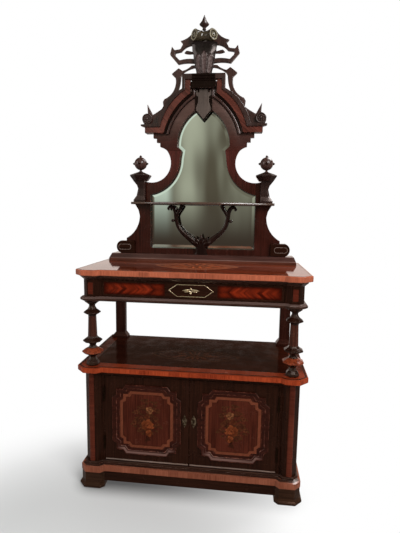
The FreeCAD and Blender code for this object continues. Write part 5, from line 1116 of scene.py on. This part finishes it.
on_post = on_front(POST_FRONT)
post_strips = [strip([(side * STRIP_X, STRIP_LOW), (side * STRIP_X, STRIP_HIGH)], BOWED, on_post)
               for side in SIDES.values()]
add_piece("post_veneer_strips", *joined(post_strips), upright_veneer, "carcase", "red_veneer", sharp=50)
panels, edges = panel_pair(*BLOCK_PANEL, on_post)
add_piece("block_veneer_insets", *panels, block_veneer, "carcase", "red_veneer")
add_piece("block_inset_edges", *edges, ebony_upright, "carcase", "ebonised")
panels, edges = panel_pair(*DRAWER_PANEL, on_door)
add_piece("drawer_veneer_panels", *panels, chevron_veneer, "drawer", "red_veneer")
add_piece("drawer_panel_edges", *edges, ebony_lying, "drawer", "ebonised")

# %% [markdown]
# ## The drawer's brass
# A six-sided brass line is let into the drawer's middle, round a winged escutcheon. The line is a fine
# rounded strip carried round the six corners, and the escutcheon a turned ring with lens-shaped
# feathers, so both catch the light along their crowns. The drawer's front lies in the plane of the
# doors.

# %% Brass line and winged escutcheon
DRAWER_Z = DRAWER_MIDDLE / MM
SIX_SIDES = np.array([(101, 0), (62, 28), (-62, 28), (-101, 0), (-62, -28), (62, -28)])
BRASS_LINE = [(0, -0.3), (0, 0.9), (-0.7, 1.7), (-2.5, 1.7), (-3.2, 0.9), (-3.2, -0.3)]
KEY_RING = [(9.0, -0.3), (9.0, 1.0), (8.0, 1.9), (6.0, 1.9), (4.8, 1.0), (4.8, -0.3)]
TOWARDS_VIEWER = (0, -1, 0)
# Feathers of a wing: height of the root, slope, length, width and bend
WING = ((0.5, 0.0, 32, 5.5, 0.0), (3.0, 0.24, 22, 4.5, -0.15), (-3.0, -0.24, 22, 4.5, 0.15))
WING_X, FEATHER_LIFT = 7.0, 1.6
# Root, angle, length, width and bend of the tip above and the drop below
TIP, DROP = (0, 7.5, math.pi / 2, 7, 5, 0), (0, -7.5, -math.pi / 2, 10, 7, 0)
feathers = np.array([(side * WING_X, rise, math.atan2(slope, side), length, width, bow * side)
                     for side in SIDES.values() for rise, slope, length, width, bow in WING] + [TIP, DROP])
brass = [carried(SIX_SIDES + (0, DRAWER_Z), BRASS_LINE, on_door),
         turned(KEY_RING, (0, DOOR_FRONT, DRAWER_Z), TOWARDS_VIEWER, 28),
         slips(*petals(feathers[:, :2] + (0, DRAWER_Z), *feathers[:, 2:].T, FEATHER_LIFT), on_door)]
add_piece("drawer_cartouche", *joined(brass), bright_brass, "drawer", "brass", ["drawer_brasses"], sharp=50)

# %% [markdown]
# ## The two table surfaces
# The top and the waist shelf have a red edge and a quiet field within a dark line, with a lens-shaped
# inlay in the middle. On the waist shelf the red also lies as a broad band on the level. The outline is
# worked out from the plan of the top for any inset, so the lines stay parallel round the corners. The
# field of the top goes round the foot of the mirror.

# %% Fields and lines
# Half width, front, chamfer, face and step of a storey's plan
TOP, PLINTH = (520.0, -256.0, 39.0, 63.0, 17.0), (504.0, -253.0, 25.0, 68.0, 17.0)
TOP_LEVEL, TOP_BACK, TOP_INSET = 1025.0, 259.0, 7
WAIST_LEVEL, WAIST_BACK, WAIST_INSET = 580.0, 257.0, 60
BASE_HALF, BASE_FRONT = 494.0, 150.0
FIELD_PROUD, LINE_PROUD, TOP_LINE = 0.4, 0.5, 3.5
# Inset, back and width of the dark lines on the waist shelf
WAIST_LINES = ((57, 260.0, 4.0), (7, 258.0, 6.0))


def plan(inset, back, storey=TOP):
    """The plan of a storey drawn in by an inset, anticlockwise from the back left corner."""
    half, front, chamfer, face, step = storey
    edge, nose = half - inset, front + inset
    slope, flat = chamfer - inset * (2 - math.sqrt(2)), face - 2 * inset * math.tan(math.pi / 8)
    inner = edge - slope - flat
    right = np.array([(inner - step, nose + step), (inner, nose), (edge - slope, nose), (edge, nose + slope),
                      (edge, back)])
    return np.concatenate([right[::-1] * (-1, 1), right])


on_table, on_waist = on_top(TOP_LEVEL), on_top(WAIST_LEVEL)
round_base = oblong((-BASE_HALF, BASE_FRONT), (BASE_HALF, TOP_BACK))[[2, 1, 0, 3]]
top_outline = np.concatenate([plan(TOP_INSET, TOP_BACK), round_base])
add_piece("top_field", *plate(top_outline, on_table, FIELD_PROUD), figured_mahogany, "carcase", "mahogany")
top_line = framed(top_outline, TOP_LINE, on_table, LINE_PROUD)
add_piece("top_line", *top_line, ebony_lying, "carcase", "ebonised")
add_piece("waist_field", *plate(plan(WAIST_INSET, WAIST_BACK), on_waist, FIELD_PROUD), dark_field, "carcase",
          "mahogany")
waist_lines = [framed(plan(inset, back), width, on_waist, LINE_PROUD) for inset, back, width in WAIST_LINES]
add_piece("waist_line", *joined(waist_lines), ebony_lying, "carcase", "ebonised")

# %% Lenses
# Share of the lens, width and tone of the lines; count, share and width of the leaves in each ring
LENS_LINES = ((1.0, 6.0, STRING_TONE), (0.93, 6.0, LINE_TONE), (0.80, 5.0, STRING_TONE))
LEAF_RINGS = ((22, 0.90, 15.0), (16, 0.60, 15.0), (8, 0.30, 13.0))
LENS_POINTS, LENS_PROUD, LENS_SUNK = 48, 0.45, 0.2
RING_REACH, RING_ROOT, RING_LENGTH, RING_LIFT, RING_BEND = 0.72, 0.15, 0.85, 0.1, 0.12


def lens(half_long, half_deep, centre):
    """A pointed lens: the depth goes as one minus the square of the way along."""
    way = np.linspace(-1, 1, LENS_POINTS)
    low = np.stack([half_long * way, -half_deep * (1 - way ** 2)], 1)
    return np.concatenate([low, -low[1:-1]]) + centre


print("each lens has", 2 * LENS_POINTS - 2, "points")

# %% Lozenges
def lozenge(name, level, centre, half_long, half_deep, field, strength):
    """Nested lenses of alternating veneers. Within them three rings of leaves stand on an ellipse, every
    second leaf in a dark wood."""
    inside = lens(half_long, half_deep, centre)
    shells = [plate(inside, on_top(level), LENS_PROUD)]
    tones = [np.tile(field, (2 * len(inside), 1))]
    for share, width, tone in LENS_LINES:
        line = lens(half_long * share, half_deep * share, centre)
        shells.append(framed(line, width, on_top(level), LINE_PROUD, LENS_SUNK))
        tones.append(np.tile(np.array(tone) * strength, (4 * len(line), 1)))
    for count, share, width in LEAF_RINGS:
        turn = np.linspace(0, math.tau, count, endpoint=False) + 0.1 * count
        reach = share * RING_REACH / np.linalg.norm(ways(turn) / (half_long, half_deep), axis=1)
        leaves = petals(RING_ROOT * reach[:, None] * ways(turn) + centre, turn, reach * RING_LENGTH, width,
                        RING_BEND, RING_LIFT)
        shells.append(slips(*leaves, on_top(level + FIELD_PROUD)))
        dark = (np.arange(count) % 2)[:, None]
        tip = (np.array(ROSE) * (1 - dark) + np.array(LEAF_TIP) * 0.5 * dark) * strength
        tones.append(slip_tints(np.tile(LEAF_ROOT, (count, 1)), tip).reshape(-1, 4)[:, :3])
    add_piece(name, *joined(shells), inlay_finish, "carcase", "marquetry", sharp=60,
              tints=opaque(np.concatenate(tones)))


lozenge("top_lozenge", TOP_LEVEL, (0, 0), 205, 125, (0.19, 0.034, 0.009), 3.2)
lozenge("waist_lozenge", WAIST_LEVEL, (0, -20), 225, 84, (0.022, 0.0040, 0.0016), 0.34)

# %% [markdown]
# ## The bevelled mirror
# A good plate is bevelled all round, which shows as a thin bright edge that bends what is mirrored.
# The sight outline of the frame is drawn as lines and arcs, grown a little to tuck behind the rebate,
# and the front face starts seventeen millimetres inside it, so the bevel is a real slope.

# %% Mirror glass
SIGHT_CORNER, SIGHT_CUSP = (278, 1093), (114.0, 1604.0)
SHOULDER, ARCH = ((278, 1377), (166, 1443), (121, 1563)), ((136, 1624), (122, 1708), (0, 1825))
# Growth of the outline and depth, from the back of the plate to its face
GLASS = ((9, 227.0), (9, 224.8), (-17, 223.05))
sight = np.concatenate([[SIGHT_CORNER], arc(*SHOULDER, 24), [SIGHT_CUSP], arc(*ARCH, 24)])
sight = np.concatenate([sight, sight[-2::-1] * (-1, 1)])
rings = [on_front(depth)(sight + grow * mitres(sight), np.zeros(len(sight))) for grow, depth in GLASS]
add_piece("bevelled_mirror", *tube(np.stack(rings)), silvered, "carcase", "mirror", ["mirror_glass"],
          sharp=1.5)

# %% [markdown]
# ## The arch and its keystone
# Inside the red arch runs a black moulded border with a brown bead on it, and within that the head
# swells in a flat round down to the glass. Each is a profile carried along an arc on the right, and
# mirrored. The keystone has a raised grey face, and above it lie the reeds of a small corbel.

# %% Arch mouldings
FRAME_FRONT = 201.0
ARCH_POINTS, SWELL_LOW, SWELL_END = 40, 0.1, 0.3
BORDER = [(1, -0.3), (1, 17.0), (-2, 19.0), (-6, 18.0), (-10, 13.0), (-15, 9.0), (-21, 8.0), (-23, 10.0),
          (-26, 8.0), (-27, 4.0), (-27, -0.3)]
BEAD = [(-13, -0.3), (-13, 10.5), (-15, 12.0), (-18.5, 12.6), (-22, 11.6), (-24.5, 9.2), (-25.5, 6.0),
        (-25.5, -0.3)]
ARCH_ROUND = [(1, -0.3), (1, 0.8), (6, 2.0), (13, 3.1), (21, 3.6), (30, 3.3), (39, 2.4), (47, 1.2), (54, 0.1),
              (54, -0.3)]
on_frame = on_front(FRAME_FRONT)
border_line = np.concatenate([arc((204, 1690), (143, 1813), (67, 1883), 28), [(67, 1906)]])
add_piece("arch_border", *pair(strip(border_line, BORDER, on_frame)), black_timber, "carcase", "ebonised",
          sharp=40)
add_piece("arch_bead", *pair(strip(border_line, BEAD, on_frame)), high_ebony, "carcase", "ebonised", sharp=40)
way = np.linspace(0, 1, ARCH_POINTS)
swelling = SWELL_LOW + (1 - SWELL_LOW) * smooth_curve(way, 0.0, SWELL_END)
rounds = np.array(ARCH_ROUND) * np.stack([np.ones(ARCH_POINTS), swelling], 1)[:, None, :]
add_piece("arch_round", *pair(strip(arc(*ARCH, ARCH_POINTS), rounds, on_frame)), high_mahogany, "carcase",
          "mahogany", sharp=40)

# %% Keystone face and corbel reeds
KEY_FRONT, CORBEL_FRONT, CORBEL_COVER = 189.5, 171.0, 0.4
CORBEL_HALF, CORBEL_LOW, CORBEL_HIGH = 59.5, 1907, 1974.5
REED_HALF, REEDS = 54, ((1942, 4.0), (1953, 5.0), (1965, 4.0))
# Right half of the face: the point, ears, a waist and a notched head
KEY_HALF = np.array([(3, 1760), (10, 1770), (36, 1801), (38, 1812), (28, 1842), (28, 1868), (38.5, 1876),
                     (38.5, 1899), (31, 1899), (31, 1888), (22, 1888), (22, 1904)])
key_face = np.concatenate([KEY_HALF, KEY_HALF[::-1] * (-1, 1)])
add_piece("keystone_relief", *plate(key_face, on_frame, FRAME_FRONT - KEY_FRONT), grey_timber, "carcase",
          "ebonised")
on_corbel = on_front(CORBEL_FRONT)
reeds = [strip([(-REED_HALF, height), (REED_HALF, height)], radius * hoop(10), on_corbel)
         for height, radius in REEDS]
# A black sheet over the corbel's front: its black is partly ebonising and partly painted shade of the recess
# there.
shade_sheet = plate(oblong((-CORBEL_HALF, CORBEL_LOW), (CORBEL_HALF, CORBEL_HIGH)), on_corbel, CORBEL_COVER)
add_piece("corbel_reeds", *joined([*reeds, shade_sheet]), black_timber, "carcase", "ebonised", sharp=40)

# %% [markdown]
# ## The carved shield
# A carver would cut the shield from a block: it widens and comes forward as it rises, and three veined
# leaves lie on its lower part, under a hollow. Here it is one relief over its outline. The same
# formulas paint light and shade by a colour on the points: the leaves' crowns light, the ground round
# them and the hollow dark.

# %% Shield
SHIELD_FOOT, SHIELD_HEAD, ROWS, COLUMNS = 1975.5, 2121.0, 90, 121
FOOT_HALF, HALF_GAIN, SHIELD_WAIST = 38, 27, 2.0
FOOT_SWELL, SWELL_GAIN, SWELL_LIMIT, GROUND_DROP, SIDE_FALL = 25, 24, 24.5, 9, 0.34
LEAF_SPREAD, MIDDLE_LEAF, SIDE_LEAF, SIDE_LEAF_RISE, LEAF_TOP = 0.62, 0.36, 0.30, 0.85, 0.74
LOBE_RISE, VEIN_RISE, RIB_RISE, RIB_WIDTH, HOLLOW, RIM_RISE = 5.5, 2.4, 1.8, 0.05, 6, 4
DARKEST, HOLLOW_SHADE = 0.14, 0.62


def dome(value, width):
    """The cosine of a quarter turn at the width: 1 in the middle and 0 from the width on."""
    return np.cos(np.clip(value / width, -1, 1) * math.pi / 2)


def shield_relief():
    """The shield's rings of points and the shade of each point. The half width grows with the height to the
    power 0.85 and has four soft waists. The ground comes forward evenly with the height and falls off with
    the cube of the way aside. Three leaves are domes across their ribs, with veins that are cosines of eight
    times the height less nine times the way from the rib. A hollow is taken off above them."""
    rise, across = np.meshgrid(np.linspace(0, 1, ROWS), np.linspace(-1, 1, COLUMNS), indexing="ij")
    aside = np.abs(across)
    half = FOOT_HALF + HALF_GAIN * rise ** 0.85 - SHIELD_WAIST * np.sin(4 * math.pi * rise) ** 2
    swell = (FOOT_SWELL + SWELL_GAIN * rise) * (1 - SIDE_FALL * aside ** 3)
    rib = np.minimum(aside, np.abs(aside - LEAF_SPREAD))
    lobe = np.maximum(dome(across, MIDDLE_LEAF), dome(aside - LEAF_SPREAD, SIDE_LEAF) * SIDE_LEAF_RISE)
    in_leaf = smooth_curve(LEAF_TOP - 0.22 * aside - 0.35 * rib - rise, -0.06, 0.06)
    vein = 0.5 + 0.5 * np.cos(math.tau * (8 * rise - 9 * rib))
    leaf = LOBE_RISE * lobe + VEIN_RISE * vein * np.sqrt(lobe) + RIB_RISE * np.exp(-(rib / RIB_WIDTH) ** 2)
    hollow = smooth_curve(rise, 0.62, 0.82) * HOLLOW * (1 - across ** 2)
    relief = swell - GROUND_DROP + in_leaf * leaf - hollow + RIM_RISE * smooth_curve(rise, 0.94, 1.0)
    depth = FRAME_FRONT - np.minimum(relief, FOOT_SWELL + SWELL_LIMIT * rise)
    front = np.stack([half * across, depth, SHIELD_FOOT + (SHIELD_HEAD - SHIELD_FOOT) * rise], -1)
    back = np.stack([front[:, [-1, 0], 0], np.full((ROWS, 2), FRAME_FRONT), front[:, [-1, 0], 2]], -1)
    # Painted light and shade: the leaves' crowns are light, the ground round them dark, and all darker under
    # the roll.
    lit = DARKEST + (1 - DARKEST) * in_leaf * lobe * (0.30 + 0.70 * vein)
    shade = lit * (1 - HOLLOW_SHADE * smooth_curve(rise, 0.55, 0.80))
    return np.concatenate([front, back], 1), np.concatenate([shade, shade[:, [-1, 0]]], 1)


points, shade = shield_relief()
add_piece("carved_shield", *tube(points), shield_timber, "carcase", "ebonised", ["crest_shield"], sharp=65,
          tints=opaque(np.repeat(shade[..., None], 3, -1)))

# %% [markdown]
# ## The volute roll and the finial
# Over the shield lies a leafy roll whose two ends turn forward and close in round eyes, with gilt rings
# on them. It is a ring of points carried along a bowed line. Twelve ridges twist round the roll, and the
# radius follows the steps of a turned eye at each end, so one grid makes the roll and both its eyes. A
# four-lobed spade stands on top.

# %% Volute roll
ROLL_HALF, ROLL_Y, ROLL_Z, ROLL_BOW, ROLL_ROUND, ROLL_ROWS = 47.0, 176.0, 2149.2, 0.0095, 48, 49
SLIM, FLARE, RIDGE, RIDGE_TWIST, EYE_OVERLAP = 21.5, 6.0, 0.055, 0.12, 4
# From the middle of an eye to its rim: way beyond the roll's end, and radius
EYE_STEPS = np.array([(3.5, 0.4), (3.0, 5.0), (0.5, 7.5), (-1.5, 9.0), (-2.0, 17.0), (0.0, 20.0), (2.0, 22.0),
                      (1.5, 26.0), (-1.0, 27.6)])


def volute_roll():
    """Rings of points along a bowed line, which is a parabola: the depth falls with the square of the way
    from the middle. The radius grows towards the ends with the way to the power 1.6, then takes the steps of
    an eye. The ridges follow the size of the cosine of six times the turn, twisted along the roll."""
    body = np.linspace(-ROLL_HALF + EYE_OVERLAP, ROLL_HALF - EYE_OVERLAP, ROLL_ROWS)
    share = np.abs(body / ROLL_HALF)
    along = np.concatenate([-ROLL_HALF - EYE_STEPS[:, 0], body, ROLL_HALF + EYE_STEPS[::-1, 0]])[:, None]
    radius = np.concatenate([EYE_STEPS[:, 1], SLIM + FLARE * share ** 1.6, EYE_STEPS[::-1, 1]])[:, None]
    ridge = np.pad(RIDGE * np.clip(1.3 - 1.3 * share ** 4, 0, 1), len(EYE_STEPS))[:, None]
    held = np.clip(along, -ROLL_HALF, ROLL_HALF)
    slope = -2 * ROLL_BOW * held
    way = np.concatenate([np.ones_like(slope), slope], 1) / np.hypot(1, slope)
    middle = np.concatenate([held, ROLL_Y - ROLL_BOW * held ** 2], 1) + (along - held) * way
    turn = np.linspace(0, math.tau, ROLL_ROUND, endpoint=False)
    ring = radius * (1 + ridge * (np.abs(np.cos(6 * turn + RIDGE_TWIST * along)) - 0.6))
    out = ring * np.cos(turn)
    return np.stack([middle[:, :1] - out * way[:, 1:], middle[:, 1:] + out * way[:, :1],
                     ROLL_Z + ring * np.sin(turn)], -1)


add_piece("crest_volute_roll", *tube(volute_roll()), gilt_carving, "carcase", "ebonised", ["crest_roll"],
          sharp=50)

# %% Volute rings
WIRE = np.array([(2.4, -2.0), (2.4, 1.2), (1.2, 2.8), (-1.2, 2.8), (-2.4, 1.2), (-2.4, -2.0)])
RING_SIZES = ((22.8, 1.0), (8.6, 0.6))
end_way = unit((1, -2 * ROLL_BOW * ROLL_HALF))
end_middle = np.array((ROLL_HALF, ROLL_Y - ROLL_BOW * ROLL_HALF ** 2))


def on_volute(flat, height):
    """A flat drawing put on the right end of the roll, heights along the roll's outward way."""
    across = flat[..., 0]
    return np.stack([end_middle[0] - across * end_way[1] + height * end_way[0],
                     end_middle[1] + across * end_way[0] + height * end_way[1], ROLL_Z + flat[..., 1]], -1)


rings = [carried(radius * hoop(40), WIRE * (width, 1), on_volute) for radius, width in RING_SIZES]
rings += [mirrored_x(ring) for ring in rings]
add_piece("volute_rings", *joined(rings), gilt_line, "carcase", "ebonised", sharp=50)

# %% Spade finial
FINIAL_FOOT, FINIAL_RISE, FINIAL_Y, LOBE_DEPTH, SPADE_ROUND = 2176.0, 71.0, 172.8, 0.28, 32
# Share of the height and radius
SPADE = np.array([(0, 9.0), (0.06, 10.0), (0.10, 8.0), (0.15, 8.0), (0.21, 12.0), (0.29, 20.0), (0.35, 24.0),
                  (0.40, 24.0), (0.46, 21.0), (0.53, 16.5), (0.61, 12.5), (0.70, 9.5), (0.82, 6.0),
                  (0.93, 2.6), (1.0, 0.3)])


def spade():
    """Rings of points up the finial. Each radius is cut back by the squared sine of twice the turn, which
    leaves four lobes, and the cut eases in above the neck."""
    height, radius = SPADE[:, :1], SPADE[:, 1:]
    turn = np.linspace(0, math.tau, SPADE_ROUND, endpoint=False)
    ring = radius * (1 - LOBE_DEPTH * np.sin(2 * turn) ** 2 * smooth_curve(height, 0.2, 0.34))
    level = np.broadcast_to(FINIAL_FOOT + FINIAL_RISE * height, ring.shape)
    return np.stack([ring * np.cos(turn), FINIAL_Y + ring * np.sin(turn), level], -1)


add_piece("spade_finial", *tube(spade()), spade_timber, "carcase", "ebonised", ["crest_finial"], sharp=50)

# %% [markdown]
# ## Rosettes, studs and foot lines
# Rosettes close the ends of the arch: a turned rim and eye with eight petals between them. Studs stand
# out on four sides of each ball finial, and a fine raised line runs round the scrolled feet of the
# mirror.

# %% Rosettes
ROSETTE_X, ROSETTE_Z, ROSETTE_FRONT = 292.0, 1762.0, 189.0
RIM = [(26.0, -1), (26.0, 2.5), (24.0, 4.5), (21.5, 4.0), (19.5, 1.0), (19.0, -1)]
ROSETTE_EYE = [(8.5, -1), (8.0, 4.0), (6.0, 7.0), (3.0, 8.5), (0.3, 9.0)]
# Count, radius of the roots, length, width and lift of a rosette's petals
ROSETTE_PETALS, ROOT_RADIUS, PETAL_LENGTH, PETAL_WIDTH, PETAL_RISE = 8, 6, 13.0, 9.0, 4.0
rosettes, angle = [], math.tau * np.arange(ROSETTE_PETALS) / ROSETTE_PETALS
for side in SIDES.values():
    middle = (side * ROSETTE_X, ROSETTE_FRONT, ROSETTE_Z)
    roots = ROOT_RADIUS * ways(angle) + (side * ROSETTE_X, ROSETTE_Z)
    leaves = petals(roots, angle, PETAL_LENGTH, PETAL_WIDTH, 0, PETAL_RISE)
    rosettes += [turned(RIM, middle, TOWARDS_VIEWER, 40), turned(ROSETTE_EYE, middle, TOWARDS_VIEWER, 20),
                 slips(*leaves, on_front(ROSETTE_FRONT))]
add_piece("rosette_carving", *joined(rosettes), carved_timber, "carcase", "ebonised", sharp=45)

# %% Studs
BALL_X, BALL_Y, BALL_Z, BALL_RADIUS = 328.0, 193.0, 1535.0, 33.0
STUD = [(7.5, -2), (7.5, 1.0), (5.5, 2.5), (5.0, 5.0), (3.0, 7.5), (0.3, 9.0)]
STUD_WAYS = ((1, 0, 0), (-1, 0, 0), (0, -1, 0), (0, 1, 0))
studs = [turned(STUD, np.array((side * BALL_X, BALL_Y, BALL_Z)) + BALL_RADIUS * np.array(way), way, 12)
         for side in SIDES.values() for way in STUD_WAYS]
add_piece("ball_studs", *joined(studs), ebony_upright, "carcase", "ebonised", sharp=45)

# %% Foot lines
SCROLL_FRONT, SCROLL_LINE = 187.0, [(1.4, -0.3), (1.0, 1.2), (-1.0, 1.2), (-1.4, -0.3)]
stadium = np.concatenate([arc((436, 1082), (450, 1096), (436, 1110), 12),
                          arc((396, 1110), (382, 1096), (396, 1082), 12)])
# Their pale colour is partly a painted highlight.
add_piece("scroll_foot_lines", *pair(carried(stadium, SCROLL_LINE, on_front(SCROLL_FRONT))), pale_lit_edge,
          "carcase", "ebonised")

# %% [markdown]
# ## Trim of the cupboard
# The plinth's red band is topped by a narrow slope of the same veneer and a dark ledge that leads up to
# the doors. Each door ends below in a bead whose pale colour is a painted highlight, and two fine reeds
# close the gap beside it.

# %% Plinth slope, ledge, beads and reeds
PLINTH_LEVEL, PLINTH_GROWTH, PLINTH_BACK = 102.0, 2, 230
SLOPE = [(0, -0.6), (0, 0.3), (-7, 1.8), (-7, -0.6)]
LEDGE = [(-7, -0.6), (-7, 1.9), (-21.5, 4.9), (-21.5, -0.6)]
BEAD_RADIUS, BEAD_IN, BEAD_OUT, BEAD_Z = 3.4, 4.0, 394.0, 120.5
REED_RADIUS, REED_XS, REED_LOW, REED_HIGH = 2.3, (406.5, 411.5), 118.0, 552.0
plinth_line, on_plinth = plan(-PLINTH_GROWTH, PLINTH_BACK, PLINTH)[1:-1], on_top(PLINTH_LEVEL)
add_piece("plinth_slope", *strip(plinth_line, SLOPE, on_plinth), slope_veneer, "carcase", "red_veneer")
add_piece("plinth_ledge", *strip(plinth_line, LEDGE, on_plinth), ebony_worn_and_lit, "carcase", "ebonised")
# Each door's foot bead is pale: a painted highlight.
for name, side in SIDES.items():
    bead = strip([(side * BEAD_IN, BEAD_Z), (side * BEAD_OUT, BEAD_Z)], BEAD_RADIUS * hoop(10), on_door)
    add_piece(f"{name}_door_foot_bead", *bead, pale_lit_edge, f"{name}_door", "ebonised", sharp=50)
reeds = [strip([(side * x, REED_LOW), (side * x, REED_HIGH)], REED_RADIUS * hoop(10), on_door)
         for side in SIDES.values() for x in REED_XS]
add_piece("door_side_reeds", *joined(reeds), ebony_upright, "carcase", "ebonised", sharp=50)

# %% [markdown]
# ## The lyre bracket
# Under the shelf stands a lyre. The joiner sawed it from a flat board; the carver then rounded its arms,
# rolled their tips outwards, and cut leaves where they spring from the stem. Each arm is an oval ring
# carried along a bent line, as thick as the board at the stem and thinner towards its tip.

# %% Bent arms
LYRE_MIDDLE, LEAF_FRONT = 183.0, 176.0


def bend(knots, count):
    """A smooth line through knots, by parabolas between neighbours blended across each gap."""
    knots = np.asarray(knots, float)
    padded = np.concatenate([[2 * knots[0] - knots[1]], knots, [2 * knots[-1] - knots[-2]]])
    spot = np.linspace(0, len(knots) - 1.0001, count)
    gap, t = spot.astype(int), (spot % 1)[:, None]
    a, b, c, d = (padded[gap + k] for k in range(4))
    return b + 0.5 * t * (c - a + t * (2 * a - 5 * b + 4 * c - d + t * (3 * (b - c) + d - a)))


def oval_arm(knots, widths, depths, count=40, sides=14):
    """An arm with an oval section: half width and half depth run along it through given values."""
    way = np.linspace(0, 1, count)
    size = [np.interp(way, np.linspace(0, 1, len(steps)), steps) for steps in (widths, depths)]
    return strip(bend(knots, count), hoop(sides) * np.stack(size, 1)[:, None, :], on_front(LYRE_MIDDLE))


print("arm helpers ready")

# %% Lyre arms, stem and leaves
ARM = [(14, 1112), (40, 1130), (72, 1156), (102, 1181), (124, 1212), (134, 1248), (139, 1284), (150, 1308),
       (166, 1314), (177, 1304), (172, 1295)]
BRANCH = [(135, 1262), (126, 1284), (113, 1304), (104, 1322)]
STEM = [(0, 1063.5), (0, 1075), (0, 1100), (0, 1125), (0, 1146)]
BERRY, BERRY_X, BERRY_Z = [(0.3, -9), (5, -7.5), (7.5, -3), (7.5, 3), (5, 7.5), (0.3, 9)], 152, 1241
# Angle, length and bend of the five leaves, and their width and lift
FAN = np.array([(38, 52, -0.25), (62, 56, -0.12), (90, 60, 0), (118, 56, 0.12), (142, 52, 0.25)])
FAN_Z, FAN_WIDTH, FAN_LIFT = 1108, 20.0, 8.0
right_parts = [
    oval_arm(ARM, (17, 16, 14, 12, 10.5, 10.5, 10, 9, 8, 6.5, 3), (9.8, 9.5, 8, 5)),
    oval_arm(BRANCH, (7, 8.5, 9, 10), (7, 9, 9)),
    turned(BERRY, (BERRY_X, LYRE_MIDDLE, BERRY_Z), (1, 0, 0), 16),
]
stem = oval_arm(STEM, (36, 31, 27, 34, 22), (9.9, 9.9, 9.9, 8), 24, 28)
angle = np.radians(FAN[:, 0])
roots = np.stack([9 * np.cos(angle), FAN_Z + 6 * np.sin(angle)], 1)
leaves = slips(*petals(roots, angle, FAN[:, 1], FAN_WIDTH, FAN[:, 2], FAN_LIFT), on_front(LEAF_FRONT))
shells = [stem, leaves, *right_parts, *[mirrored_x(part) for part in right_parts]]
add_piece("carved_lyre", *joined(shells), lyre_timber, "carcase", "ebonised", ["shelf_bracket"], sharp=55)

# %% [markdown]
# The shelf on the lyre has a bright nosing along its bowed front: an oval carried along three arcs.

# %% Nosing of the mirror shelf
NOSE_OUT, NOSE_HIGH, SHELF_MIDDLE = 4.5, 6.2, 1330.0
wing = np.concatenate([arc((373, 165), (290, 158), (215, 139), 10)[:-1],
                       arc((215, 139), (0, 95), (-215, 139), 31)[:-1],
                       arc((-215, 139), (-290, 158), (-373, 165), 10)])
nosing = strip(wing[::-1], hoop(12) * (NOSE_OUT, NOSE_HIGH), on_top(SHELF_MIDDLE))
add_piece("shelf_nosing", *nosing, polished_nosing, "carcase", "mahogany", sharp=50)
